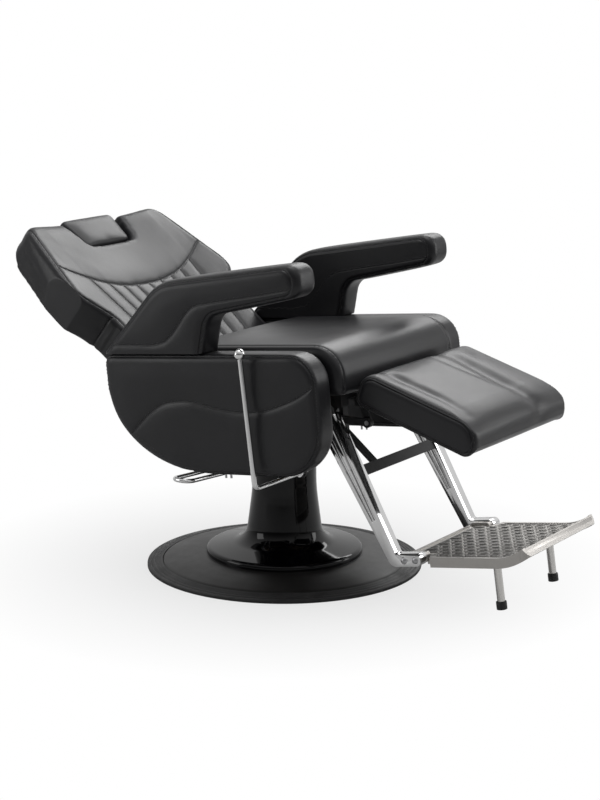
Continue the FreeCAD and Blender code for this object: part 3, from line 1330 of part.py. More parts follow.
def calf_pad():
    """Calf pad with a rounded front nose, recessed underneath for its board."""
    half = CALF_HALF_WIDTH
    pad = side_prism([
        (-CALF_START, CALF_BOTTOM, CALF_REAR_LOW_ROUND), (-CALF_START, CALF_TOP, CALF_REAR_TOP_ROUND),
        (-CALF_END, CALF_TOP, CALF_FRONT_TOP_ROUND), (-CALF_END, CALF_BOTTOM, CALF_FRONT_LOW_ROUND),
    ], -half, half)
    pad = softened(pad, CALF_EDGE, lambda edge: at_side(edge, half) or at_side(edge, -half))
    return placed(pad.cut(calf_board_block(RUN)), CALF)


# Lever and pedal


def lever_reach():
    """Distance of the lever's handle from the middle of the chair."""
    return PANEL_OUTER + LEVER_AIR + LEVER_RADIUS


def lever_top():
    """Centre of the lever's knob, in the seat's frame."""
    lean = math.radians(LEVER_LEAN)
    return vector(-lever_reach(), LEVER_RISE * math.sin(lean) - LEVER_FORWARD,
                  LEVER_RISE * math.cos(lean) - LEVER_DROP)


def recline_lever():
    """Bent chrome rod: a handle beside the panel and a shaft that runs in under it."""
    heel = vector(-lever_reach(), -LEVER_FORWARD, -LEVER_DROP)
    neck = lever_top() + (heel - lever_top()).normalize() * (KNOB_RADIUS * 0.9)
    inner = vector(-LEVER_INNER, -LEVER_FORWARD, -LEVER_DROP)
    bar = pipe([neck, heel, inner], LEVER_BEND, LEVER_RADIUS)
    collar_end = -RAIL_OUTER - LEVER_PLATE_THICKNESS - 2 * AIR
    collar_start = collar_end - LEVER_COLLAR_LENGTH
    collar = across(-LEVER_FORWARD, -LEVER_DROP, collar_start, collar_end, LEVER_COLLAR_RADIUS)
    return placed(bar.fuse(collar).removeSplitter(), SEAT)


def lever_knob():
    """Ball on the lever's top."""
    ball = placed(Part.makeSphere(KNOB_RADIUS, lever_top()), SEAT)
    return ball.cut(recline_lever())


def lever_bracket():
    """Plate on the right rail that the lever's shaft turns in."""
    half = LEVER_PLATE_WIDTH / 2
    start, end = -RAIL_OUTER - LEVER_PLATE_THICKNESS, -RAIL_OUTER
    plate = block((start, -LEVER_FORWARD - half, -LEVER_DROP),
                  (end, half - LEVER_FORWARD, RAIL_BOTTOM + RAIL_HEIGHT / 2))
    plate = plate.fuse(across(-LEVER_FORWARD, -LEVER_DROP, start, end, half)).removeSplitter()
    return placed(plate.cut(across(-LEVER_FORWARD, -LEVER_DROP, start, end, LEVER_RADIUS + RUN)), SEAT)


def along_y(x, z, start, end, radius):
    """Round bar along Y."""
    return rod(vector(x, start, z), vector(x, end, z), radius)


def pedal_ears():
    """Inner faces of the two ears that hold the pedal's pin, along Y."""
    return PEDAL_START - PEDAL_SLEEVE_RADIUS, PEDAL_START + PEDAL_LOOP_WIDTH + PEDAL_SLEEVE_RADIUS


def pump_pedal():
    """Bent rod loop on a sleeve, pressed down with the foot to pump the chair up."""
    x, z = -PEDAL_PIVOT_ACROSS, PEDAL_PIVOT_HEIGHT
    near, far = PEDAL_START, PEDAL_START + PEDAL_LOOP_WIDTH
    elbow = (x - PEDAL_ELBOW_OUT, z - PEDAL_ELBOW_DROP)
    end = (-PEDAL_REACH, z - PEDAL_END_DROP)
    loop = pipe([
        vector(x, near, z), vector(elbow[0], near, elbow[1]), vector(end[0], near, end[1]),
        vector(end[0], far, end[1]), vector(elbow[0], far, elbow[1]), vector(x, far, z),
    ], PEDAL_BEND, PEDAL_RADIUS)
    low, high = pedal_ears()
    sleeve = along_y(x, z, low + AIR, high - AIR, PEDAL_SLEEVE_RADIUS)
    return loop.fuse(sleeve).removeSplitter().cut(along_y(x, z, low, high, PEDAL_PIN_RADIUS + RUN))


def pedal_bracket():
    """Ears under the hub plate for the pedal's pin."""
    x, z = -PEDAL_PIVOT_ACROSS, PEDAL_PIVOT_HEIGHT
    low, high = pedal_ears()
    over = block((-HUB_PLATE_HALF * 2, -HUB_PLATE_HALF * 2, HUB_PLATE_BOTTOM),
                 (HUB_PLATE_HALF * 2, HUB_PLATE_HALF * 2, HUB_PLATE_BOTTOM + SEAT_PIVOT_HEIGHT))
    ears = []
    for start in (low - PEDAL_EAR_THICKNESS, high):
        end = start + PEDAL_EAR_THICKNESS
        ear = block((x - PEDAL_EAR_HALF, start, z), (x + PEDAL_EAR_HALF, end, SEAT_PIVOT_HEIGHT))
        ear = ear.fuse(along_y(x, z, start, end, PEDAL_EAR_HALF)).removeSplitter()
        ears.append(ear.cut(placed(over, SEAT)).cut(along_y(x, z, start, end, PEDAL_PIN_RADIUS + RUN)))
    return Part.makeCompound(ears)


def pedal_pin():
    """Pin through the pedal's sleeve, fixed in the ears."""
    low, high = pedal_ears()
    return along_y(-PEDAL_PIVOT_ACROSS, PEDAL_PIVOT_HEIGHT, low - PEDAL_EAR_THICKNESS,
                   high + PEDAL_EAR_THICKNESS, PEDAL_PIN_RADIUS)


def build():
    """Every piece of the chair, by the name of its node."""
    panel = side_panel()
    arm = armrest()
    rail = frame_rail()
    leg = leg_arm()
    steel_arm = back_arm()
    return {
        "base_plate": base_plate(),
        "base_edge_ring": base_edge_ring(),
        "column_skirt": column_skirt(),
        "pump_cylinder": pump_cylinder(),
        "gland_nut": gland_nut(),
        "piston_ram": piston_ram(),
        "thrust_washer": thrust_washer(),
        "hub_socket": hub_socket(),
        "hub_bolts": hub_bolts(),
        "hub_cross_tubes": hub_cross_tubes(),
        "front_cross_tube": front_cross_tube(),
        "frame_rail_left": rail,
        "frame_rail_right": mirrored(rail),
        "panel_spacers": panel_spacers(),
        "seat_board": seat_board(),
        "seat_cushion": seat_cushion(),
        "side_panel_left": panel,
        "side_panel_right": mirrored(panel),
        "panel_studs": panel_studs(),
        "armrest_left": arm,
        "armrest_right": mirrored(arm),
        "armrest_studs": armrest_studs(),
        "leg_arm_left": leg,
        "leg_arm_right": mirrored(leg),
        "leg_bolts": leg_bolts(),
        "leg_cross_bar": leg_cross_bar(),
        "leg_brace": leg_brace(),
        "bracket_bolts": bracket_bolts(),
        "foot_plate": foot_plate(),
        "plate_legs": plate_legs(),
        "plate_feet": plate_feet(),
        "back_arm_left": steel_arm,
        "back_arm_right": mirrored(steel_arm),
        "recline_shaft": recline_shaft(),
        "back_cross_tube": back_cross_tube(),
        "back_board": back_board(),
        "back_cushion": back_cushion(),
        "back_shell": back_shell(),
        "headrest_sleeves": headrest_sleeves(),
        "headrest_pad": headrest_pad(),
        "headrest_posts": headrest_posts(),
        "crank_plates": crank_plates(),
        "crank_pins": crank_pins(),
        "drag_links": both_sides(drag_link()),
        "lock_cylinder": lock_cylinder(),
        "lock_rod": lock_rod(),
        "lock_brackets": lock_brackets(),
        "calf_lugs": both_sides(calf_lug()),
        "calf_pins": both_sides(calf_pin()),
        "calf_arms": both_sides(calf_arm()),
        "calf_crank_pins": both_sides(calf_crank_pin()),
        "calf_board": calf_board(),
        "calf_pad": calf_pad(),
        "recline_lever": recline_lever(),
        "lever_knob": lever_knob(),
        "lever_bracket": lever_bracket(),
        "pump_pedal": pump_pedal(),
        "pedal_bracket": pedal_bracket(),
        "pedal_pin": pedal_pin(),
    }


os.makedirs("parts", exist_ok=True)
for name, shape in build().items():
    print(name, "solids", len(shape.Solids), "valid", shape.isValid(), "cm3", round(shape.Volume / 1000, 1))
    shape.exportStep(os.path.join("parts", name + ".step"))
for title, frame in (("back", BACK), ("calf", CALF), ("plate", PLATE)):
    print(title, "pivot", [round(value, 3) for value in frame.Base])
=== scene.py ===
"""Dresses a reclining barber chair: padded black vinyl with sewn seams, chrome, cast alloy and studio light."""
import logging
import math
from contextlib import contextmanager
from dataclasses import dataclass, field
from enum import Enum
from typing import Iterable, Iterator, Sequence

import bmesh
import bpy
import numpy as np
from mathutils import Matrix, Vector
from mathutils.bvhtree import BVHTree
from mathutils.kdtree import KDTree


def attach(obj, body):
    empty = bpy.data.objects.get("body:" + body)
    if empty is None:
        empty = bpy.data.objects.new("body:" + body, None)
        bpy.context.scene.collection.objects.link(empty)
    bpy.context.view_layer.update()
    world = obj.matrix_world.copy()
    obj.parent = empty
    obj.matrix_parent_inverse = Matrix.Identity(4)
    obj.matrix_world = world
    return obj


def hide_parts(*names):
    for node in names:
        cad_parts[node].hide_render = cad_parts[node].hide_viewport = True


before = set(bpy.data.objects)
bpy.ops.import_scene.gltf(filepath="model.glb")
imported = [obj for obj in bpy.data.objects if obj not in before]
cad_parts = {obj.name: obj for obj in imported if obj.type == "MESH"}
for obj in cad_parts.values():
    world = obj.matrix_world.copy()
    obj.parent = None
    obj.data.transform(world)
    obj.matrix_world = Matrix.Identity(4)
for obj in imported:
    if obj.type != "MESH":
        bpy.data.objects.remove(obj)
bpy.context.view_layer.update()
LOG = logging.getLogger("barber_chair")
SEAM_STEP = 0.002
CORD_STEP = 0.008
WELD = 2e-6
FLAT_TURN = 0.6
CRISP_TURN = 32.0
MADE_TURN = 40.0
Line = np.ndarray
Socket = bpy.types.NodeSocket
Triple = tuple[float, float, float]
Marks = Sequence[tuple[float, ...]]


class Body(Enum):
    """The moving bodies that pieces ride on."""

    BASE = "base"
    SEAT = "seat"
    BACK = "back"
    HEADREST = "headrest"
    CALF = "calf"
    FOOTPLATE = "footplate"
    LEVER = "lever"
    PEDAL = "pedal"


class Slot(Enum):
    """The material slots of the chair's record."""

    VINYL = "black_vinyl"
    PLYWOOD = "plywood"
    RUBBER = "black_rubber"
    GLOSS = "gloss_black"
    STEEL = "black_steel"
    CHROME = "chrome"
    ALLOY = "cast_alloy"
    ZINC = "plain_steel"


class Side(Enum):
    """The sitter's sides, as the sign of X."""

    RIGHT = -1.0
    LEFT = 1.0

    @property
    def label(self) -> str:
        """The side's word in the names of pieces and nodes."""
        return self.name.lower()


# Finishes


class Graph:
    """Node tree of one material, with a principled shader already in it."""

    def __init__(self, name: str) -> None:
        """Starts an empty material of that name.

        Args:
            name: the material's name.
        """
        self.material = bpy.data.materials.new(name)
        self.material.use_nodes = True
        self.nodes = self.material.node_tree.nodes
        self.links = self.material.node_tree.links
        self.shader = self.nodes["Principled BSDF"]
        self.place = self.nodes.new("ShaderNodeTexCoord").outputs["Object"]

    def texture(self, kind: str, scale: float, stretch: Triple = (1, 1, 1), **values: float) -> bpy.types.Node:
        """Adds a texture on object coordinates.

        Args:
            kind: the node's type after ShaderNodeTex.
            scale: cells per metre.
            stretch: how much the pattern is drawn out along each axis.
            **values: other input values, by socket name with underscores for spaces.

        Returns:
            The texture node.
        """
        node = self.nodes.new("ShaderNodeTex" + kind)
        source = self.place
        if stretch != (1, 1, 1):
            mapping = self.nodes.new("ShaderNodeMapping")
            mapping.inputs["Scale"].default_value = stretch
            self.links.new(source, mapping.inputs["Vector"])
            source = mapping.outputs["Vector"]
        self.links.new(source, node.inputs["Vector"])
        node.inputs["Scale"].default_value = scale
        for key, value in values.items():
            node.inputs[key.replace("_", " ")].default_value = value
        return node

    def spread(self, source: Socket, low: float, high: float, start: float = 0.3, end: float = 0.7) -> Socket:
        """Maps a texture's value onto a range and returns the output socket.

        Args:
            source: the texture's value.
            low: the range's start.
            high: the range's end.
            start: the value that gives the range's start.
            end: the value that gives its end.

        Returns:
            The mapped value.
        """
        node = self.nodes.new("ShaderNodeMapRange")
        self.links.new(source, node.inputs["Value"])
        for key, value in (("From Min", start), ("From Max", end), ("To Min", low), ("To Max", high)):
            node.inputs[key].default_value = value
        return node.outputs["Result"]

    def tint(self, source: Socket, dark: Triple, light: Triple, start: float = 0.3, end: float = 0.7) -> Socket:
        """Blends two colours by a texture's value and returns the output socket.

        Args:
            source: the texture's value.
            dark: the colour at low values.
            light: the colour at high values.
            start: the value up to which all is dark.
            end: the value from which all is light.

        Returns:
            The blended colour.
        """
        node = self.nodes.new("ShaderNodeValToRGB")
        node.color_ramp.elements[0].position = start
        node.color_ramp.elements[1].position = end
        node.color_ramp.elements[0].color = (*dark, 1)
        node.color_ramp.elements[1].color = (*light, 1)
        self.links.new(source, node.inputs["Fac"])
        return node.outputs["Color"]

    def bump(self, source: Socket, strength: float, depth: float, under: Socket | None = None) -> Socket:
        """Adds relief from a height socket over an earlier relief and returns the normal socket.

        Args:
            source: the height.
            strength: how strongly it shows.
            depth: its depth in metres.
            under: the earlier relief's normal.

        Returns:
            The normal.
        """
        node = self.nodes.new("ShaderNodeBump")
        node.inputs["Strength"].default_value = strength
        node.inputs["Distance"].default_value = depth
        self.links.new(source, node.inputs["Height"])
        if under is not None:
            self.links.new(under, node.inputs["Normal"])
        return node.outputs["Normal"]

    def set(self, **values: Socket | Triple | float) -> None:
        """Sets the shader's own sockets: a socket is linked, a number or colour is written in.

        Args:
            **values: the values, by socket name with underscores for spaces.
        """
        for key, value in values.items():
            socket = self.shader.inputs[key.replace("_", " ")]
            if isinstance(value, bpy.types.NodeSocket):
                self.links.new(value, socket)
            else:
                socket.default_value = (*value, 1) if isinstance(value, tuple) else value


def shade(colour: Triple, share: float) -> Triple:
    """Returns a colour made lighter or darker by a share."""
    return tuple(channel * share for channel in colour)


@dataclass(frozen=True)
class Finish:
    """A surface finish, made into a material once and shared."""

    name: str
    slot: Slot
    colour: Triple
    roughness: float

    def fill(self, graph: Graph) -> None:
        """Writes the finish into a node tree."""
        raise NotImplementedError

    def material(self) -> bpy.types.Material:
        """Returns the finish's material, made on first use.

        Returns:
            The material.
        """
        found = bpy.data.materials.get(self.name)
        if found is None:
            graph = Graph(self.name)
            self.fill(graph)
            found = graph.material
        return found


@dataclass(frozen=True)
class Vinyl(Finish):
    """Upholstery vinyl: fine pebbled grain, soft wrinkles and an uneven sheen."""

    grain: float = 620.0
    wrinkle: float = 34.0

    def fill(self, graph: Graph) -> None:
        """Writes grain, wrinkles, tone and sheen.

        Args:
            graph: the material's node tree.
        """
        cells = graph.texture("Voronoi", self.grain, Randomness=1.0).outputs["Distance"]
        pores = graph.texture("Noise", self.grain * 2.2, Detail=3.0).outputs["Fac"]
        folds = graph.texture("Noise", self.wrinkle, Detail=3.0, Roughness=0.45, Distortion=0.7).outputs["Fac"]
        tone = graph.texture("Noise", 7.0, Detail=4.0).outputs["Fac"]
        relief = graph.bump(folds, 0.035, 0.004)
        relief = graph.bump(cells, 0.16, 0.0005, relief)
        relief = graph.bump(pores, 0.08, 0.0003, relief)
        graph.set(Base_Color=graph.tint(tone, shade(self.colour, 0.85), shade(self.colour, 1.2)),
                  Roughness=graph.spread(tone, self.roughness - 0.04, self.roughness + 0.05),
                  Specular_IOR_Level=0.40, Normal=relief)


@dataclass(frozen=True)
class Thread(Finish):
    """Twisted sewing thread."""

    def fill(self, graph: Graph) -> None:
        """Writes the twist and a slight change of tone.

        Args:
            graph: the material's node tree.
        """
        twist = graph.texture("Wave", 900.0, Distortion=1.5).outputs["Fac"]
        tone = graph.texture("Noise", 60.0).outputs["Fac"]
        graph.set(Base_Color=graph.tint(tone, shade(self.colour, 0.8), shade(self.colour, 1.25)),
                  Roughness=self.roughness, Sheen_Weight=0.2, Normal=graph.bump(twist, 0.3, 0.0004))


@dataclass(frozen=True)
class Metal(Finish):
    """Bare or plated metal: polish marks, cast grain and handling smears."""

    grain: float = 900.0
    relief: float = 0.02
    smear: float = 0.03
    draw: Triple = (1, 1, 1)

    def fill(self, graph: Graph) -> None:
        """Writes smears in the gloss and fine relief.

        Args:
            graph: the material's node tree.
        """
        smears = graph.texture("Noise", 14.0, Detail=5.0, Roughness=0.6).outputs["Fac"]
        marks = graph.texture("Noise", self.grain, self.draw, Detail=3.0).outputs["Fac"]
        graph.set(Base_Color=graph.tint(smears, shade(self.colour, 0.94), self.colour), Metallic=1.0,
                  Roughness=graph.spread(smears, self.roughness - self.smear, self.roughness + self.smear),
                  Normal=graph.bump(marks, self.relief, 0.0006))


@dataclass(frozen=True)
class Paint(Finish):
    """Sprayed enamel or powder coat, with orange peel at the coat's own scale."""

    peel: float = 160.0
    relief: float = 0.03
    specular: float = 0.4

    def fill(self, graph: Graph) -> None:
        """Writes orange peel, dust and gloss.

        Args:
            graph: the material's node tree.
        """
        peel = graph.texture("Noise", self.peel, Detail=2.0).outputs["Fac"]
        dust = graph.texture("Noise", 18.0, Detail=6.0, Roughness=0.65).outputs["Fac"]
        graph.set(Base_Color=graph.tint(dust, shade(self.colour, 0.85), shade(self.colour, 1.25)),
                  Roughness=graph.spread(dust, self.roughness * 0.9, self.roughness * 1.15),
                  Specular_IOR_Level=self.specular, Normal=graph.bump(peel, self.relief, 0.001))


@dataclass(frozen=True)
class Rubber(Finish):
    """Moulded rubber with a dull, faintly dusty skin."""

    def fill(self, graph: Graph) -> None:
        """Writes the moulded skin.

        Args:
            graph: the material's node tree.
        """
        skin = graph.texture("Noise", 1100.0, Detail=3.0).outputs["Fac"]
        dust = graph.texture("Noise", 25.0, Detail=5.0).outputs["Fac"]
        graph.set(Base_Color=graph.tint(dust, self.colour, shade(self.colour, 1.6)),
                  Roughness=graph.spread(dust, self.roughness - 0.08, self.roughness + 0.08),
                  Normal=graph.bump(skin, 0.15, 0.0005))


@dataclass(frozen=True)
class Plywood(Finish):
    """Sanded birch plywood with a drawn-out grain."""

    def fill(self, graph: Graph) -> None:
        """Writes the grain.

        Args:
            graph: the material's node tree.
        """
        grain = graph.texture("Noise", 60.0, (1, 0.06, 1), Detail=6.0, Distortion=0.8).outputs["Fac"]
        graph.set(Base_Color=graph.tint(grain, shade(self.colour, 0.7), shade(self.colour, 1.15)),
                  Roughness=graph.spread(grain, self.roughness - 0.05, self.roughness + 0.1),
                  Normal=graph.bump(grain, 0.12, 0.0008))


VINYL = Vinyl("vinyl_black", Slot.VINYL, (0.0125, 0.0125, 0.0142), 0.33)
THREAD = Thread("thread_black", Slot.VINYL, (0.020, 0.020, 0.022), 0.6)
CHROME = Metal("chrome_plate", Slot.CHROME, (0.86, 0.86, 0.86), 0.07, grain=500.0, relief=0.012)
TUBE_CHROME = Metal("chrome_tube", Slot.CHROME, (0.78, 0.765, 0.74), 0.12, grain=500.0, relief=0.02)
ALLOY = Metal("alloy_cast", Slot.ALLOY, (0.56, 0.54, 0.515), 0.36, grain=1400.0, relief=0.12, smear=0.07)
TREAD_ALLOY = Metal("alloy_tread", Slot.ALLOY, (0.33, 0.32, 0.305), 0.46, grain=1200.0, relief=0.15, smear=0.08)
# A darker copy of the cast alloy, for the sheet of painted shade and grime in the footplate's recess.
RECESS_SHADE_ALLOY = Metal("alloy_recess", Slot.ALLOY, (0.17, 0.165, 0.158), 0.55, grain=1100.0, relief=0.25, smear=0.08)
ZINC = Metal("zinc_plate", Slot.ZINC, (0.55, 0.55, 0.56), 0.32, grain=900.0, relief=0.06, smear=0.06)
GLOSS = Paint("enamel_gloss", Slot.GLOSS, (0.0012, 0.0012, 0.0018), 0.06, peel=45.0, relief=0.006, specular=0.3)
SATIN = Paint("enamel_satin", Slot.STEEL, (0.011, 0.0105, 0.0105), 0.42, peel=700.0, relief=0.08)
FRAME_COAT = Paint("powder_coat", Slot.STEEL, (0.018, 0.018, 0.019), 0.5, peel=500.0, relief=0.12)
RUBBER = Rubber("rubber_black", Slot.RUBBER, (0.016, 0.016, 0.0165), 0.55)
PLYWOOD = Plywood("plywood_birch", Slot.PLYWOOD, (0.42, 0.31, 0.19), 0.62)


# Places and lines


@dataclass(frozen=True)
class Tilt:
    """A sub-assembly's own frame: where it sits on the middle plane and its lean about X."""

    y: float
    z: float
    lean: float

    @property
    def matrix(self) -> Matrix:
        """The frame's place in the chair."""
        return Matrix.Translation((0, self.y, self.z)) @ Matrix.Rotation(math.radians(self.lean), 4, "X")


SEAT_FRAME = Tilt(0.0, 0.420, -6.0)
BACK_FRAME = Tilt(0.19795, 0.442633, 37.0)
CALF_FRAME = Tilt(-0.27201, 0.437026, 17.0)
PLATE_FRAME = Tilt(-0.428803, 0.118454, -8.5)


def even(points: Line, step: float) -> Line:
    """Returns a line's points spaced evenly.

    Args:
        points: the line, as rows of coordinates.
        step: the spacing wanted, in metres.

    Returns:
        The same line with points at about that spacing.
    """
    lengths = np.concatenate([[0], np.cumsum(np.linalg.norm(np.diff(points, axis=0), axis=1))])
    count = max(2, int(round(lengths[-1] / step)) + 1)
    at = np.linspace(0, lengths[-1], count)
    return np.stack([np.interp(at, lengths, points[:, k]) for k in range(points.shape[1])], 1)


def flowing(marks: Marks, step: float = SEAM_STEP) -> Line:
    """Returns a smooth line through a few marks.

    Args:
        marks: the points it passes through.
        step: the spacing of its points, in metres.

    Returns:
        Evenly spaced points on a cubic line.
    """
    marks = np.array(marks, float)
    chord = np.concatenate([[0], np.cumsum(np.linalg.norm(np.diff(marks, axis=0), axis=1))])
    slope = np.gradient(marks, chord, axis=0)
    parts = []
    for k in range(len(marks) - 1):
        span = chord[k + 1] - chord[k]
        t = np.linspace(0, 1, 24, endpoint=k == len(marks) - 2)[:, None]
        parts.append((2 * t**3 - 3 * t**2 + 1) * marks[k] + (t**3 - 2 * t**2 + t) * span * slope[k]
                     + (3 * t**2 - 2 * t**3) * marks[k + 1] + (t**3 - t**2) * span * slope[k + 1])
    return even(np.concatenate(parts), step)


def rounded(corners: Marks, closed: bool = True, step: float = SEAM_STEP) -> Line:
    """Returns an outline with rounded corners.

    Args:
        corners: (a, b, radius) of each corner in order.
        closed: whether the last corner joins the first.
        step: the spacing of the points, in metres.

    Returns:
        Points along the outline, ending at its start when it is closed.
    """
    at = np.array([corner[:2] for corner in corners], float)
    points = []
    for k, corner in enumerate(corners):
        if not closed and k in (0, len(corners) - 1):
            points.append(at[k])
            continue
        into, out = at[k] - at[k - 1], at[(k + 1) % len(at)] - at[k]
        into, out = into / np.linalg.norm(into), out / np.linalg.norm(out)
        turn = math.acos(max(-1.0, min(1.0, float(into @ out))))
        back = corner[2] * math.tan(turn / 2)
        if corner[2] < 1e-6 or turn < 1e-4:
            points.append(at[k])
            continue
        inward = out - into
        centre = at[k] + inward / np.linalg.norm(inward) * corner[2] / math.cos(turn / 2)
        start, end = at[k] - into * back - centre, at[k] + out * back - centre
        for share in np.linspace(0, 1, max(4, int(turn * 14))):
            arm = start * math.sin((1 - share) * turn) + end * math.sin(share * turn)
            points.append(centre + arm / math.sin(turn))
    if closed:
        points.append(points[0])
    return even(np.array(points), step)


def drawn_in(outline: Line, inset: float) -> Line:
    """Returns an outline moved inwards; it runs with the inside on its right.

    Args:
        outline: the outline.
        inset: how far it moves.

    Returns:
        The moved outline.
    """
    run = np.gradient(outline, axis=0)
    run /= np.linalg.norm(run, axis=1)[:, None]
    return outline + np.stack([run[:, 1], -run[:, 0]], 1) * inset


def lifted(line: Line, x: float) -> Line:
    """Returns a side-view line as points at one X."""
    return np.column_stack([np.full(len(line), x), line])


def raised(line: Line, height: float) -> Line:
    """Returns a line with one height as its last coordinate."""
    return np.column_stack([line, np.full(len(line), height)])


# Meshes


def node_bmesh(names: Iterable[str]) -> bmesh.types.BMesh:
    """Returns a merged copy of CAD nodes' meshes.

    Args:
        names: the nodes.

    Returns:
        The copy, in a new bmesh.
    """
    bm = bmesh.new()
    for name in names:
        bm.from_mesh(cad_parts[name].data)
    bmesh.ops.remove_doubles(bm, verts=bm.verts[:], dist=WELD)
    return bm


def new_object(name: str, bm: bmesh.types.BMesh, sharp: float = 180.0) -> bpy.types.Object:
    """Makes a smooth-shaded object from a bmesh.

    Args:
        name: the piece's name.
        bm: its shape, which is freed.
        sharp: edges that turn by more than this many degrees stay crisp.

    Returns:
        The new object, in the scene.
    """
    limit = math.radians(sharp)
    for face in bm.faces:
        face.smooth = True
    for edge in bm.edges:
        edge.smooth = edge.calc_face_angle(0.0) < limit
    mesh = bpy.data.meshes.new(name)
    bm.to_mesh(mesh)
    bm.free()
    piece = bpy.data.objects.new(name, mesh)
    bpy.context.scene.collection.objects.link(piece)
    return piece


def places(mesh: bpy.types.Mesh) -> Line:
    """Returns every vertex's place.

    Args:
        mesh: the mesh.

    Returns:
        One row of coordinates for each vertex.
    """
    found = np.empty(len(mesh.vertices) * 3)
    mesh.vertices.foreach_get("co", found)
    return found.reshape(-1, 3)


def move(mesh: bpy.types.Mesh, coords: Line) -> None:
    """Moves every vertex."""
    mesh.vertices.foreach_set("co", coords.astype(np.float32).ravel())
    mesh.update()


def fit_out(piece: bpy.types.Object, finish: Finish, body: Body, *nodes: str) -> bpy.types.Object:
    """Gives a piece its finish and its body, and hides the CAD nodes that it stands for.

    Args:
        piece: the finished piece, in place.
        finish: its surface.
        body: the body it rides on.
        *nodes: the CAD nodes it replaces.

    Returns:
        The same piece.
    """
    piece.data.materials.clear()
    piece.data.materials.append(finish.material())
    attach(piece, body.value)
    if nodes:
        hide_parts(*nodes)
    LOG.info("%s: %d faces, rides on %s", piece.name, len(piece.data.polygons), body.value)
    return piece


def mirrored(piece: bpy.types.Object) -> bpy.types.Object:
    """Returns a copy of a right-hand piece for the left of the chair.

    Args:
        piece: the right-hand piece.

    Returns:
        Its mirror image, in the scene.
    """
    mesh = piece.data.copy()
    mesh.transform(Matrix.Scale(-1, 4, (1, 0, 0)))
    mesh.flip_normals()
    twin = bpy.data.objects.new(piece.name.replace(Side.RIGHT.label, Side.LEFT.label), mesh)
    bpy.context.scene.collection.objects.link(twin)
    return twin


def chain(bm: bmesh.types.BMesh, points: Iterable[Sequence[float]], closed: bool) -> list:
    """Adds a chain of vertices and edges and returns its geometry.

    Args:
        bm: the bmesh that it goes into.
        points: the vertices' places.
        closed: whether the last joins the first.

    Returns:
        The new vertices, then the new edges.
    """
    verts = [bm.verts.new(point) for point in points]
    ends = verts[1:] + verts[:1] if closed else verts[1:]
    edges = [bm.edges.new(pair) for pair in zip(verts, ends)]
    return verts + edges


def turned(name: str, profile: Line, steps: int, closed: bool) -> bpy.types.Object:
    """Turns a profile round the column's axis.

    Args:
        name: the piece's name.
        profile: (radius, height) points.
        steps: divisions of the turn, in eights.
        closed: whether the profile is a loop.

    Returns:
        The turned object.
    """
    bm = bmesh.new()
    geom = chain(bm, [(r, 0, z) for r, z in profile], closed)
    bmesh.ops.spin(bm, geom=geom, axis=(0, 0, 1), cent=(0, 0, 0), angle=math.tau / 8, steps=steps // 8)
    for turn in (math.tau / 8, math.tau / 4, math.tau / 2):
        made = bmesh.ops.duplicate(bm, geom=bm.verts[:] + bm.edges[:] + bm.faces[:])["geom"]
        verts = [part for part in made if isinstance(part, bmesh.types.BMVert)]
        bmesh.ops.rotate(bm, verts=verts, cent=(0, 0, 0), matrix=Matrix.Rotation(turn, 3, "Z"))
    bmesh.ops.remove_doubles(bm, verts=bm.verts[:], dist=WELD)
    bmesh.ops.recalc_face_normals(bm, faces=bm.faces[:])
    return new_object(name, bm, MADE_TURN)


def ease_edges(bm: bmesh.types.BMesh, edges: Sequence[bmesh.types.BMEdge], width: float, segments: int) -> None:
    """Rounds some edges over by a width."""
    bmesh.ops.bevel(bm, geom=edges, offset=width, offset_type="OFFSET", affect="EDGES", segments=segments,
                    profile=0.5, material=-1, clamp_overlap=True)


def polished(name: str, node: str, finish: Finish, body: Body, edge: float = 0.0) -> bpy.types.Object:
    """Makes a rigid piece from a CAD node, with flats joined up and crisp edges eased, and fits it out.

    Args:
        name: the piece's name.
        node: the node that it copies and replaces.
        finish: its surface.
        body: the body it rides on.
        edge: width of the eased edges, or 0 to leave them.

    Returns:
        The new object.
    """
    bm = node_bmesh([node])
    if edge:
        bmesh.ops.dissolve_limit(bm, angle_limit=math.radians(FLAT_TURN), verts=bm.verts[:], edges=bm.edges[:])
        crisp = [e for e in bm.edges if len(e.link_faces) == 2 and e.calc_face_angle(0.0) > math.radians(CRISP_TURN)]
        ease_edges(bm, crisp, edge, 2)
    return fit_out(new_object(name, bm, CRISP_TURN), finish, body, node)


@dataclass(frozen=True)
class Cover:
    """How one padded piece is covered and stuffed.

    The skin has cells of a size, is smoothed a number of times and drawn in by an inset, and swells up to a limit,
    which is evened out until the cover is taut. The fill, from slack to tight, is not used, and the hollow is the
    depth and half width of the soft dip along the seams.
    """

    cell: float
    smooth: int
    inset: float
    limit: float
    fill: float
    taut: int = 12
    hollow: tuple[float, float] = (0.0010, 0.0065)


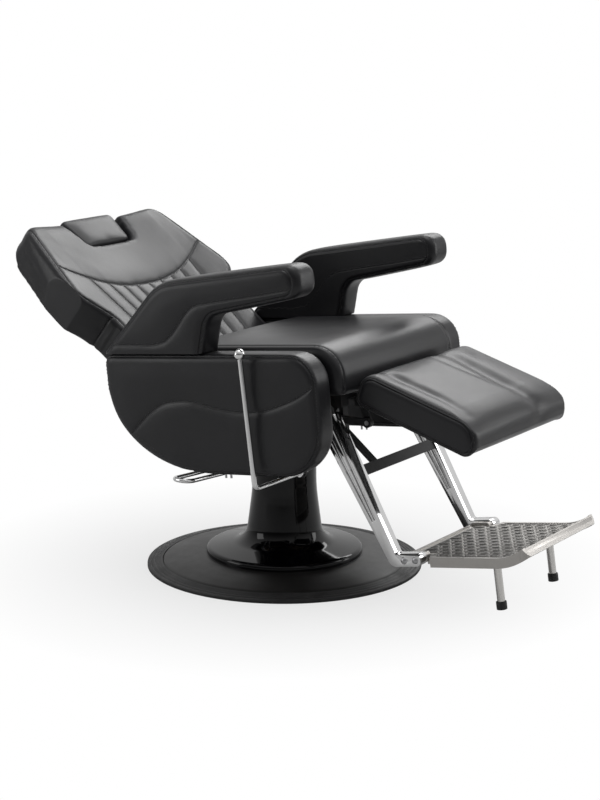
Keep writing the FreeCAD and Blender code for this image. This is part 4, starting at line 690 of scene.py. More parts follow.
class Padding:
    """A padded piece while it is made, in its sub-assembly's own frame."""

    SHRINK, REGROW, SLACKEN = 0.5, -0.52, 0.6
    PRESSURE, FRAMES, HELD = 4.0, 20, 0.0035
    STITCH_DEPTH, STITCH_WIDTH, STITCH_NEAR = 0.0030, 0.0017, 0.0055
    CREASE_CUTS = (0.0, 0.12, 0.24, 0.36)

    def __init__(self, name: str, nodes: Sequence[str], tilt: Tilt, cover: Cover) -> None:
        """Starts from a copy of the CAD nodes that the padding stands for.

        Args:
            name: the piece's name.
            nodes: the nodes.
            tilt: its sub-assembly's frame.
            cover: how it is covered.
        """
        bm = node_bmesh(nodes)
        bm.transform(tilt.matrix.inverted())
        self.nodes, self.tilt, self.cover = nodes, tilt, cover
        self.piece = new_object(name, bm)

    def coords(self) -> Line:
        """Returns every vertex's place."""
        return places(self.piece.data)

    def normals(self) -> Line:
        """Returns every vertex's outward direction.

        Returns:
            One row for each vertex.
        """
        found = np.empty(len(self.piece.data.vertices) * 3, np.float32)
        self.piece.data.vertices.foreach_get("normal", found)
        return found.reshape(-1, 3).astype(float)

    def put(self, coords: Line) -> None:
        """Moves every vertex."""
        move(self.piece.data, coords)

    def bake(self) -> None:
        """Makes the modifiers' result the piece's own mesh."""
        graph = bpy.context.evaluated_depsgraph_get()
        made = bpy.data.meshes.new_from_object(self.piece.evaluated_get(graph))
        old = self.piece.data
        self.piece.modifiers.clear()
        self.piece.data = made
        bpy.data.meshes.remove(old)

    @contextmanager
    def opened(self) -> Iterator[bmesh.types.BMesh]:
        """Opens the mesh for bmesh operators and writes it back.

        Yields:
            The mesh as a bmesh.
        """
        bm = bmesh.new()
        bm.from_mesh(self.piece.data)
        yield bm
        bm.to_mesh(self.piece.data)
        bm.free()

    def stuff(self, low: Triple, high: Triple) -> None:
        """Fills a hollow with a block, given by two corners, that becomes one with the padding.

        Args:
            low: the block's lowest corner.
            high: its highest corner.
        """
        middle = (Vector(low) + Vector(high)) / 2
        size = Vector(high) - Vector(low)
        with self.opened() as bm:
            bmesh.ops.create_cube(bm, size=1.0, matrix=Matrix.Translation(middle) @ Matrix.Diagonal((*size, 1)))

    def stuff_copy(self, node: str, scale: Triple, middle: Triple) -> None:
        """Adds a copy of a CAD node, made larger about a middle, that becomes one with the padding.

        Args:
            node: the node.
            scale: how much larger it gets along each axis.
            middle: the point that stays.
        """
        bm = node_bmesh([node])
        bm.transform(self.tilt.matrix.inverted())
        bmesh.ops.scale(bm, vec=scale, space=Matrix.Translation(-Vector(middle)), verts=bm.verts[:])
        bm.from_mesh(self.piece.data)
        bm.to_mesh(self.piece.data)
        bm.free()

    def wrap(self) -> None:
        """Covers the shape in one even, smoothed skin."""
        skin = self.piece.modifiers.new("skin", "REMESH")
        skin.mode = "VOXEL"
        skin.voxel_size = self.cover.cell
        self.bake()
        with self.opened() as bm:
            self.keep_outside(bm)
        coords = self.coords()
        for _ in range(self.cover.smooth):
            coords = self.evened(self.evened(coords, self.SHRINK), self.REGROW)
        self.put(coords)

    def evened(self, values: Line, share: float) -> Line:
        """Moves each vertex's values by a share towards the mean of its neighbours'.

        Args:
            values: one value or row for each vertex.
            share: how far they move, or less than 0 to move away.

        Returns:
            The moved values.
        """
        mesh = self.piece.data
        ends = np.empty(len(mesh.edges) * 2, int)
        mesh.edges.foreach_get("vertices", ends)
        one, other = ends[::2], ends[1::2]
        count = np.bincount(ends, minlength=len(values))
        columns = values if values.ndim > 1 else values[:, None]
        mean = np.stack([np.bincount(one, column[other], len(values)) + np.bincount(other, column[one], len(values))
                         for column in columns.T], 1) / count[:, None]
        return values + share * (mean.reshape(values.shape) - values)

    @staticmethod
    def keep_outside(bm: bmesh.types.BMesh) -> None:
        """Removes closed-off inner skins and leaves the largest.

        Args:
            bm: the skins.
        """
        left, best = set(bm.verts), []
        while left:
            group, waiting = [], [left.pop()]
            while waiting:
                vert = waiting.pop()
                group.append(vert)
                for edge in vert.link_edges:
                    other = edge.other_vert(vert)
                    if other in left:
                        left.remove(other)
                        waiting.append(other)
            best = max(best, group, key=len)
        keep = set(best)
        bmesh.ops.delete(bm, geom=[v for v in bm.verts if v not in keep], context="VERTS")

    def surface(self) -> BVHTree:
        """Returns a search tree of the present skin.

        Returns:
            The tree.
        """
        bm = bmesh.new()
        bm.from_mesh(self.piece.data)
        tree = BVHTree.FromBMesh(bm)
        bm.free()
        return tree

    def drape(self, starts: Line, toward: Sequence[float]) -> Line:
        """Drops points onto the skin along one direction and returns those that land.

        Args:
            starts: the points.
            toward: the direction.

        Returns:
            The places where they land, without those that miss.
        """
        tree, way = self.surface(), Vector(toward)
        hits = [tree.ray_cast(Vector(start), way)[0] for start in starts]
        return np.array([hit for hit in hits if hit is not None])

    def settle(self, line: Line) -> Line:
        """Returns a line's points moved to the nearest places on the skin."""
        tree = self.surface()
        return np.array([tree.find_nearest(Vector(point))[0] for point in line])

    def reach(self, lines: Sequence[Line], far: float) -> Line:
        """Returns each vertex's distance from the nearest of some lines, up to a limit.

        Args:
            lines: the lines.
            far: the limit.

        Returns:
            One distance for each vertex.
        """
        points = np.concatenate(list(lines))
        tree = KDTree(len(points))
        for k, point in enumerate(points):
            tree.insert(point, k)
        tree.balance()
        coords = self.coords()
        near = np.full(len(coords), far)
        lowest, highest = points.min(0) - far, points.max(0) + far
        for k in np.nonzero(((coords > lowest) & (coords < highest)).all(1))[0]:
            near[k] = min(far, tree.find(coords[k])[2])
        return near

    def press(self, lines: Sequence[Line], depth: float, width: float) -> None:
        """Draws the skin in along seams.

        Args:
            lines: the seams.
            depth: how deep they are drawn.
            width: half width of the hollow that this leaves.
        """
        near = self.reach(lines, width * 3)
        self.put(self.coords() - self.normals() * (depth * np.exp(-(near / width) ** 2))[:, None])

    def crease(self, line: Line, depth: float, width: float) -> None:
        """Draws the skin in softly along a line, deepest at its middle and running out at both ends.

        Args:
            line: the line.
            depth: how deep it is at its middle.
            width: half width of the hollow.
        """
        for cut in self.CREASE_CUTS:
            first = int(len(line) * cut)
            self.press([line[first:len(line) - first]], depth / len(self.CREASE_CUTS), width)

    def swell(self, sewn: Sequence[Line] = ()) -> None:
        """Draws the skin in and blows it up as cloth, which doesn't move along the sewn lines.

        Args:
            sewn: the lines.
        """
        limit, outward = self.cover.limit, self.normals()
        start = self.coords() - outward * self.cover.inset
        self.put(start)
        cloth = self.piece.modifiers.new("stuffing", "CLOTH")
        cloth.settings.quality = 4
        cloth.settings.use_pressure = True
        cloth.settings.uniform_pressure_force = self.PRESSURE
        cloth.settings.effector_weights.gravity = 0
        cloth.settings.tension_stiffness = 12
        cloth.settings.compression_stiffness = 12
        cloth.settings.bending_stiffness = 0.6
        cloth.collision_settings.use_collision = False
        cloth.point_cache.frame_end = self.FRAMES
        held = np.zeros(len(start), bool)
        if sewn:
            held = self.reach(sewn, self.HELD * 3) < self.HELD
            group = self.piece.vertex_groups.new(name="sewn")
            group.add([int(k) for k in np.nonzero(held)[0]], 1.0, "REPLACE")
            cloth.settings.vertex_group_mass = "sewn"
        for number in range(1, self.FRAMES + 1):
            bpy.context.scene.frame_set(number)
        self.bake()
        bpy.context.scene.frame_set(1)
        self.piece.vertex_groups.clear()
        rise = ((self.coords() - start) * outward).sum(1)
        rise = limit * np.tanh(np.maximum(rise, 0) / limit)
        LOG.info("%s swells by %.1f mm, %.1f at most", self.piece.name, 1e3 * rise[~held].mean(), 1e3 * rise.max())
        for _ in range(self.cover.taut):
            rise = np.where(held, 0.0, self.evened(rise, self.SLACKEN))
        self.put(start + outward * rise[:, None])

    def refine(self) -> None:
        """Divides the skin once, smoothly."""
        divide = self.piece.modifiers.new("fine", "SUBSURF")
        divide.levels = divide.render_levels = 1
        self.bake()

    def sew(self, lines: Sequence[Line]) -> list[Line]:
        """Divides the skin once more beside seams, draws it in sharply and returns the seams on the new skin.

        Args:
            lines: the seams.

        Returns:
            The seams, moved onto the new skin.
        """
        close = self.reach(lines, self.STITCH_NEAR * 2) < self.STITCH_NEAR
        with self.opened() as bm:
            edges = [edge for edge in bm.edges if all(close[vert.index] for vert in edge.verts)]
            bmesh.ops.subdivide_edges(bm, edges=edges, cuts=1, use_grid_fill=True)
        self.press(lines, self.STITCH_DEPTH, self.STITCH_WIDTH)
        return [self.settle(line) for line in lines]

    def seamed(self, lines: Sequence[Line]) -> list[Line]:
        """Refines the swollen skin, hollows it along seams, sews them and returns them on the new skin.

        Args:
            lines: the seams.

        Returns:
            The seams, moved onto the new skin.
        """
        self.refine()
        lines = [self.settle(line) for line in lines]
        self.press(lines, *self.cover.hollow)
        return self.sew(lines)

    def bound(self, axis: int, low: float = -9.0, high: float = 9.0) -> None:
        """Keeps the skin between two planes, where it lies flat against its neighbours.

        Args:
            axis: 0 to 2 for X to Z.
            low: the lower plane.
            high: the upper plane.
        """
        coords = self.coords()
        coords[:, axis] = np.clip(coords[:, axis], low, high)
        self.put(coords)

    def done(self, body: Body) -> bpy.types.Object:
        """Puts the padding in its place on the chair, riding on a body, and returns the piece.

        Args:
            body: the body.

        Returns:
            The finished piece.
        """
        self.piece.data.transform(self.tilt.matrix)
        self.piece.data.polygons.foreach_set("use_smooth", [True] * len(self.piece.data.polygons))
        return fit_out(self.piece, VINYL, body, *self.nodes)


@dataclass
class Stitching:
    """Rows of thread on one padded piece."""

    name: str
    padding: Padding
    pitch: float = 0.0065
    length: float = 0.0046
    radius: float = 0.00065
    proud: float = 0.15
    lines: list[tuple[Line, float]] = field(default_factory=list)

    def one_stitch(self) -> tuple[bpy.types.Mesh, Line]:
        """Returns one stitch as a mesh, and its points.

        Returns:
            The mesh and its vertices' places.
        """
        bm = bmesh.new()
        size = Matrix.Diagonal((self.length / 2, self.radius, self.radius, 1))
        bmesh.ops.create_uvsphere(bm, u_segments=6, v_segments=4, radius=1.0, matrix=size)
        stitch = bpy.data.meshes.new("stitch")
        bm.to_mesh(stitch)
        bm.free()
        return stitch, np.array([vert.co for vert in stitch.vertices])

    def row(self, line: Line, *offsets: float) -> None:
        """Asks for rows of stitches at some distances beside a seam."""
        self.lines += [(line, offset) for offset in offsets]

    def build(self) -> bpy.types.Object:
        """Sews the rows and returns them as one object, still in the piece's own frame.

        Returns:
            The thread.
        """
        bm, tree = bmesh.new(), self.padding.surface()
        stitch, shape = self.one_stitch()
        for line, offset in self.lines:
            marks = even(line, self.pitch)
            for mark, run in zip(marks, np.gradient(marks, axis=0)):
                _, normal, _, _ = tree.find_nearest(Vector(mark))
                run = Vector(run).normalized()
                beside = normal.cross(run).normalized()
                spot, normal, _, _ = tree.find_nearest(Vector(mark) + beside * offset)
                run = (run - normal * run.dot(normal)).normalized()
                axes = np.array((run, normal.cross(run), normal))
                middle = np.array(spot + normal * self.radius * self.proud)
                stitch.vertices.foreach_set("co", (shape @ axes + middle).astype(np.float32).ravel())
                bm.from_mesh(stitch)
        bpy.data.meshes.remove(stitch)
        return new_object(self.name, bm)


def sewn_cord(name: str, padding: Padding, line: Line, radius: float, proud: float) -> bpy.types.Object:
    """Makes a covered cord that runs round a closed seam.

    Args:
        name: the piece's name.
        padding: the padding it is sewn to.
        line: the seam.
        radius: the cord's radius.
        proud: how far its middle stands off the skin.

    Returns:
        The cord as a mesh, still in the padding's own frame.
    """
    tree = padding.surface()
    curve = bpy.data.curves.new(name, "CURVE")
    curve.dimensions = "3D"
    curve.bevel_depth = radius
    curve.bevel_resolution = 3
    marks = even(line, CORD_STEP)[:-1]
    spline = curve.splines.new("NURBS")
    spline.points.add(len(marks) - 1)
    for point, mark in zip(spline.points, marks):
        spot, normal, _, _ = tree.find_nearest(Vector(mark))
        point.co = (*(spot + normal * proud), 1)
    spline.use_cyclic_u = True
    spline.order_u = 4
    spline.resolution_u = 2
    holder = bpy.data.objects.new(name + "_curve", curve)
    bpy.context.scene.collection.objects.link(holder)
    bpy.context.view_layer.update()
    mesh = bpy.data.meshes.new_from_object(holder.evaluated_get(bpy.context.evaluated_depsgraph_get()))
    bpy.data.objects.remove(holder)
    bpy.data.curves.remove(curve)
    bm = bmesh.new()
    bm.from_mesh(mesh)
    bpy.data.meshes.remove(mesh)
    bmesh.ops.remove_doubles(bm, verts=bm.verts[:], dist=WELD / 2)
    bmesh.ops.recalc_face_normals(bm, faces=bm.faces[:])
    return new_object(name, bm)


def sewn_on(piece: bpy.types.Object, tilt: Tilt, finish: Finish, body: Body) -> bpy.types.Object:
    """Puts thread or a cord in its place on the chair and gives it its finish."""
    piece.data.transform(tilt.matrix)
    return fit_out(piece, finish, body)


def paired(pad: Padding, rows: bpy.types.Object) -> None:
    """Places a right-hand padded piece of the seat with its thread, then their mirror images.

    Args:
        pad: the padding, finished but for its place.
        rows: its thread.
    """
    piece = pad.done(Body.SEAT)
    sewn_on(rows, SEAT_FRAME, THREAD, Body.SEAT)
    twin = mirrored(piece)
    fit_out(twin, VINYL, Body.SEAT, *(node.replace(Side.RIGHT.label, Side.LEFT.label) for node in pad.nodes))
    fit_out(mirrored(rows), THREAD, Body.SEAT)


# Upholstery


@dataclass
class SidePanel:
    """Padded side panel, with an edge seam round its outer face and a curved seam across it."""

    cover: Cover = Cover(cell=0.0055, smooth=4, inset=0.0008, limit=0.0040, fill=0.85)
    corners: Marks = ((-0.296, 0.124, 0.066), (0.267, 0.124, 0.024), (0.267, -0.143, 0.200), (-0.296, -0.143, 0.104))
    block: tuple[Triple, Triple] = ((-0.297, 0.02, 0.05), (-0.267, 0.21, 0.118))
    away: float = 0.417
    outer_limit: float = 0.3205
    inner_limit: float = 0.2445
    top_limit: float = 0.1244
    edge_inset: float = 0.0050
    edge_row: float = -0.0034
    wave_row: float = 0.0026
    wave: Marks = ((0.2031, -0.0533), (0.1775, -0.0301), (0.1465, -0.0069), (0.1107, 0.0116), (0.0711, 0.0189),
                   (0.0327, 0.0190), (-0.0070, 0.0112), (-0.0463, 0.0031), (-0.0987, -0.0024), (-0.1566, 0.0006),
                   (-0.2097, 0.0145), (-0.2576, 0.0344), (-0.2900, 0.0540))

    def build(self) -> None:
        """Makes the right panel and its thread, then their mirror images."""
        pad = Padding("panel_pad_right", ["side_panel_right"], SEAT_FRAME, self.cover)
        pad.stuff(*self.block)
        pad.wrap()
        rim = drawn_in(rounded(self.corners), self.edge_inset)
        edge = pad.drape(lifted(rim, -self.away), (1, 0, 0))
        back_edge = pad.drape(lifted(rim, 0.0), (-1, 0, 0))
        wave = pad.drape(lifted(flowing(self.wave), -self.away), (1, 0, 0))
        pad.swell([edge, back_edge, wave])
        edge, _, wave = pad.seamed([edge, back_edge, wave])
        pad.bound(2, high=self.top_limit)
        pad.bound(0, low=-self.outer_limit, high=-self.inner_limit)
        thread = Stitching("panel_thread_right", pad)
        thread.row(edge, self.edge_row)
        thread.row(wave, self.wave_row)
        paired(pad, thread.build())


@dataclass
class Armrest:
    """Hook-shaped padded armrest, seamed round both side faces, with a stepped seam along each."""

    cover: Cover = Cover(cell=0.005, smooth=4, inset=-0.0026, limit=0.0040, fill=0.85)
    seam_corners: Marks = ((-0.007, 0.124, 0.0), (-0.0305, 0.2082, 0.044), (-0.268, 0.2450, 0.032),
                           (-0.268, 0.3115, 0.032), (0.0965, 0.2809, 0.120), (0.263, 0.124, 0.0))
    block: tuple[Triple, Triple] = ((-0.294, 0.02, 0.128), (-0.270, 0.21, 0.184))
    outer_away: float = 0.419
    inner_away: float = 0.1
    seam_foot: float = 0.127
    foot_limit: float = 0.1245
    inner_limit: float = 0.2448
    edge_inset: float = 0.0060
    edge_row: float = -0.0034
    step_row: float = 0.0028
    step_seam: Marks = ((0.2300, 0.1456), (0.1678, 0.1455), (0.1120, 0.1454), (0.0863, 0.1520), (0.0622, 0.1696),
                        (0.0372, 0.1958), (0.0157, 0.2174), (-0.0074, 0.2302), (-0.0346, 0.2342), (-0.1016, 0.2419),
                        (-0.1802, 0.2500), (-0.2560, 0.2600))

    def on_both_faces(self, pad: Padding, line: Line) -> list[Line]:
        """Returns a side-view line on the outer and on the inner face."""
        return [pad.drape(lifted(line, -self.outer_away), (1, 0, 0)),
                pad.drape(lifted(line, -self.inner_away), (-1, 0, 0))]

    def build(self) -> None:
        """Makes the right armrest and its thread, then their mirror images."""
        pad = Padding("arm_pad_right", ["armrest_right"], SEAT_FRAME, self.cover)
        pad.stuff(*self.block)
        pad.wrap()
        rim = drawn_in(rounded(self.seam_corners, closed=False), self.edge_inset)
        seams = self.on_both_faces(pad, rim[rim[:, 1] > self.seam_foot])
        seams += self.on_both_faces(pad, flowing(self.step_seam))
        pad.swell(seams)
        seams = pad.seamed(seams)
        pad.bound(2, low=self.foot_limit)
        pad.bound(0, high=-self.inner_limit)
        thread = Stitching("arm_thread_right", pad)
        for facing, edge, step in zip((1, -1), seams[:2], seams[2:]):
            thread.row(edge, self.edge_row * facing)
            thread.row(step, self.step_row * facing)
        paired(pad, thread.build())


@dataclass
class SeatCushion:
    """Seat cushion with a waterfall front and a boxing seam near each side."""

    cover: Cover = Cover(cell=0.006, smooth=5, inset=-0.0006, limit=0.0080, fill=0.8, taut=24, hollow=(0.0008, 0.0065))
    seam_half: float = 0.224
    seam_row: float = 0.0034
    seam_step: float = 0.003
    side_limit: float = 0.2425
    foot_limit: float = 0.0225
    above: float = 0.230
    rear: float = 0.112
    bend_y: float = -0.244
    bend_z: float = 0.062
    bend_away: float = 0.3
    bend_turn: float = 118.0
    bend_points: int = 40

    def seam(self, pad: Padding, x: float) -> Line:
        """Returns the boxing seam over the top and round the front at one X.

        Args:
            pad: the cushion's padding.
            x: where the seam runs.

        Returns:
            The seam, from the rear to under the front.
        """
        flat = np.arange(self.rear, self.bend_y, -self.seam_step)
        over = pad.drape(lifted(raised(flat, self.above), x), (0, 0, -1))
        tree = pad.surface()
        round_front = []
        for angle in np.linspace(0, math.radians(self.bend_turn), self.bend_points):
            way = Vector((0, -math.sin(angle), math.cos(angle)))
            hit = tree.ray_cast(Vector((x, self.bend_y, self.bend_z)) + way * self.bend_away, -way)[0]
            if hit is not None:
                round_front.append(hit)
        return np.concatenate([over, np.array(round_front)])

    def build(self) -> None:
        """Makes the cushion and its thread."""
        pad = Padding("seat_pad", ["seat_cushion"], SEAT_FRAME, self.cover)
        pad.wrap()
        seams = [self.seam(pad, side.value * self.seam_half) for side in Side]
        pad.swell(seams)
        seams = pad.seamed(seams)
        pad.bound(0, -self.side_limit, self.side_limit)
        pad.bound(2, low=self.foot_limit)
        thread = Stitching("seat_thread", pad)
        for line, side in zip(seams, Side):
            thread.row(line, self.seam_row * side.value)
        rows = thread.build()
        pad.done(Body.SEAT)
        sewn_on(rows, SEAT_FRAME, THREAD, Body.SEAT)


@dataclass
class BackRest:
    """Back: a dished yoke over sewn lengthwise channels, wrapped round the board and the shell behind."""

    cover: Cover = Cover(cell=0.006, smooth=12, inset=0.0015, limit=0.0065, fill=0.75)
    outline: Marks = ((0.240, 0.018, 0.020), (0.246, 0.172, 0.060), (0.308, 0.252, 0.048), (0.247, 0.490, 0.046))
    blocks: Sequence[tuple[Triple, Triple]] = (
        ((-0.19, 0.050, -0.046), (0.19, 0.385, 0.028)),
        ((-0.20, 0.370, -0.016), (0.20, 0.452, 0.008)),
        ((-0.236, 0.200, -0.022), (0.236, 0.390, 0.008)),
    )
    board_scale: Triple = (1.015, 1.018, 1.4)
    board_middle: Triple = (0, 0.26, 0.008)
    edge_inset: float = 0.014
    edge_foot: float = 0.036
    edge_row: float = 0.0036
    yoke_seam: Marks = ((-0.2650, 0.3435), (-0.190, 0.302), (-0.136, 0.280), (-0.070, 0.266),
                        (0.0, 0.262), (0.070, 0.266), (0.136, 0.280), (0.190, 0.302), (0.2650, 0.3435))
    yoke_row: float = 0.0042
    channel_tops: Sequence[float] = (0.0, 0.046, 0.091, 0.136, 0.190)
    channel_draw: float = 0.80
    channel_gap: int = 5
    channel_foot: float = 0.018
    channel_hollow: tuple[float, float] = (0.0013, 0.0080)
    gusset: float = 0.172
    gusset_depths: tuple[float, float] = (-0.045, 0.053)
    before: float = 0.2
    beside: float = 0.5
    waist_reach: tuple[float, float] = (0.150, 0.200)
    waist_halves: tuple[float, float] = (0.2428, 0.2900)

    def on_front(self, pad: Padding, line: Line) -> Line:
        """Returns a line, given across and up the back, on its front."""
        return pad.drape(raised(line, self.before), (0, 0, -1))

    def yoke_height(self, x: float) -> float:
        """Returns how far up the back the yoke's seam is at one X."""
        marks = np.array(self.yoke_seam)
        return float(np.interp(x, marks[:, 0], marks[:, 1]))

    def edge_lines(self, pad: Padding) -> list[Line]:
        """Returns the seam inside the edge of the front, one line each side.

        Args:
            pad: the back's padding.

        Returns:
            The two lines.
        """
        rim = rounded(self.outline, closed=False)
        rim = rim[rim[:, 1] > self.edge_foot] - [self.edge_inset, 0]
        return [self.on_front(pad, rim * [side.value, 1]) for side in Side]

    def channel_lines(self, pad: Padding) -> list[Line]:
        """Returns the seams of the lengthwise channels, which draw together towards the seat.

        Args:
            pad: the back's padding.

        Returns:
            The seams, from the sitter's right to the left.
        """
        lines = []
        for x in sorted({side.value * top for top in self.channel_tops for side in Side}):
            up = np.arange(self.yoke_height(x), self.channel_foot, -SEAM_STEP)
            across = x * (self.channel_draw + (1 - self.channel_draw) * (up / up[0]))
            lines.append(self.on_front(pad, np.column_stack([across, up])))
        return lines

    def gusset_lines(self, pad: Padding) -> list[Line]:
        """Returns the seams across the sides, from the front's edge to the shell.

        Args:
            pad: the back's padding.

        Returns:
            The two seams.
        """
        depths = np.arange(*self.gusset_depths, SEAM_STEP)
        line = np.column_stack([np.full(len(depths), self.gusset), depths])
        return [pad.drape(lifted(line, side.value * self.beside), (-side.value, 0, 0)) for side in Side]

    def draw_in_waist(self, pad: Padding) -> None:
        """Keeps the lower sides clear of the armrests, which they pass between when the back is raised.

        Args:
            pad: the back's padding.
        """
        coords = pad.coords()
        limit = np.interp(coords[:, 1], self.waist_reach, self.waist_halves)
        coords[:, 0] = np.clip(coords[:, 0], -limit, limit)
        pad.put(coords)

    def build(self) -> None:
        """Makes the back and its thread."""
        pad = Padding("back_pad", ["back_cushion", "back_board", "back_shell"], BACK_FRAME, self.cover)
        for low, high in self.blocks:
            pad.stuff(low, high)
        pad.stuff_copy("back_board", self.board_scale, self.board_middle)
        pad.wrap()
        framing = self.edge_lines(pad) + self.gusset_lines(pad)
        yoke = self.on_front(pad, flowing(self.yoke_seam))
        seams = framing + [yoke] + self.channel_lines(pad)
        pad.swell(seams)
        pad.refine()
        seams = [pad.settle(line) for line in seams]
        first = len(framing) + 1
        pad.press([line[self.channel_gap:] for line in seams[first:]], *self.channel_hollow)
        pad.press(seams[:first], *self.cover.hollow)
        seams = pad.sew(seams)
        self.draw_in_waist(pad)
        thread = Stitching("back_thread", pad)
        for line in seams[:len(framing)]:
            thread.row(line, self.edge_row)
        thread.row(seams[len(framing)], self.yoke_row, -self.yoke_row)
        for line in seams[first:]:
            thread.row(line, 0.0)
        rows = thread.build()
        pad.done(Body.BACK)
        sewn_on(rows, BACK_FRAME, THREAD, Body.BACK)


@dataclass
class Headrest:
    """Small wedge-sided pad in the notch at the top of the back."""

    cover: Cover = Cover(cell=0.004, smooth=3, inset=-0.0010, limit=0.0060, fill=0.8)
    floor: float = 0.0144

    def build(self) -> None:
        """Makes the pad."""
        pad = Padding("headrest_pillow", ["headrest_pad"], BACK_FRAME, self.cover)
        pad.wrap()
        pad.swell()
        pad.refine()
        pad.bound(2, low=self.floor)
        pad.done(Body.HEADREST)


@dataclass
class CalfRest:
    """Calf pad with corded side seams and soft lengthwise creases on top."""

    cover: Cover = Cover(cell=0.005, smooth=4, inset=-0.0004, limit=0.0070, fill=0.7, taut=16, hollow=(0.0016, 0.0060))
    corners: Marks = ((-0.037, 0.028, 0.018), (-0.338, 0.028, 0.030), (-0.338, 0.101, 0.050), (-0.037, 0.101, 0.034))
    half_width: float = 0.213
    seam_inset: float = 0.007
    seam_row: float = 0.0050
    cord: float = 0.0020
    cord_proud: float = 0.0002
    nose_end: float = -0.338
    nose_most: float = 0.999
    nose_under: tuple[float, float] = (0.090, 0.046)
    nose_over: tuple[float, float] = (0.105, 0.038)
    top: float = 0.108
    underside: float = 0.016
    fullness: float = 1.07
    gusset: float = 0.012
    gusset_share: float = 0.7
    beside: float = 0.4
    above: float = 0.3
    crease_step: float = 0.004
    creases: Sequence[tuple[Marks, float, float]] = (
        (((0.088, -0.040), (0.092, -0.110), (0.082, -0.190), (0.078, -0.260), (0.084, -0.330)), 0.0100, 0.026),
        (((-0.160, -0.030), (-0.165, -0.130), (-0.164, -0.202), (-0.172, -0.282)), 0.0048, 0.015),
        (((0.030, -0.060), (0.036, -0.140), (0.046, -0.230)), 0.0022, 0.012),
    )

    def puff(self, height: Line) -> Line:
        """Returns heights with the pad filled out over its board."""
        return self.underside + (height - self.underside) * self.fullness

    def nose(self, along: Line, length: float, rise: float) -> Line:
        """Returns how far the front edge is rounded off at some places along the pad."""
        past = np.clip((self.nose_end + length - along) / length, 0, self.nose_most)
        return rise * (1 - np.sqrt(1 - past**2))

    def turn_under(self, pad: Padding) -> None:
        """Rounds the front edge into a nose, less so below at the two side faces.

        Args:
            pad: the calf rest's padding.
        """
        coords = pad.coords()
        inside = np.clip((self.half_width - np.abs(coords[:, 0])) / self.gusset, 0, 1)
        share = self.gusset_share + (1 - self.gusset_share) * inside
        lowest = self.underside + share * self.nose(coords[:, 1], *self.nose_under)
        highest = self.top - self.nose(coords[:, 1], *self.nose_over)
        coords[:, 2] = np.minimum(np.maximum(self.puff(coords[:, 2]), lowest), highest)
        pad.put(coords)

    def build(self) -> None:
        """Makes the pad, its cords and its thread."""
        pad = Padding("calf_cushion", ["calf_pad", "calf_board"], CALF_FRAME, self.cover)
        pad.wrap()
        self.turn_under(pad)
        rim = drawn_in(rounded(self.corners), self.seam_inset)
        rim[:, 1] = self.puff(rim[:, 1])
        seams = [pad.drape(lifted(rim, side.value * self.beside), (-side.value, 0, 0)) for side in Side]
        pad.swell(seams)
        pad.bound(2, low=self.underside)
        pad.refine()
        seams = [pad.settle(line) for line in seams]
        pad.press(seams, *self.cover.hollow)
        for marks, depth, width in self.creases:
            line = raised(flowing(marks, self.crease_step), self.above)
            pad.crease(pad.drape(line, (0, 0, -1)), depth, width)
        seams = pad.sew([pad.settle(line) for line in seams])
        thread = Stitching("calf_thread", pad)
        cords = []
        for line, side in zip(seams, Side):
            cords.append(sewn_cord(f"calf_cord_{side.label}", pad, line, self.cord, self.cord_proud))
            thread.row(line, self.seam_row * side.value)
        rows = thread.build()
        pad.done(Body.CALF)
        for cord in cords:
            sewn_on(cord, CALF_FRAME, VINYL, Body.CALF)
        sewn_on(rows, CALF_FRAME, THREAD, Body.CALF)


# Rigid sub-assemblies


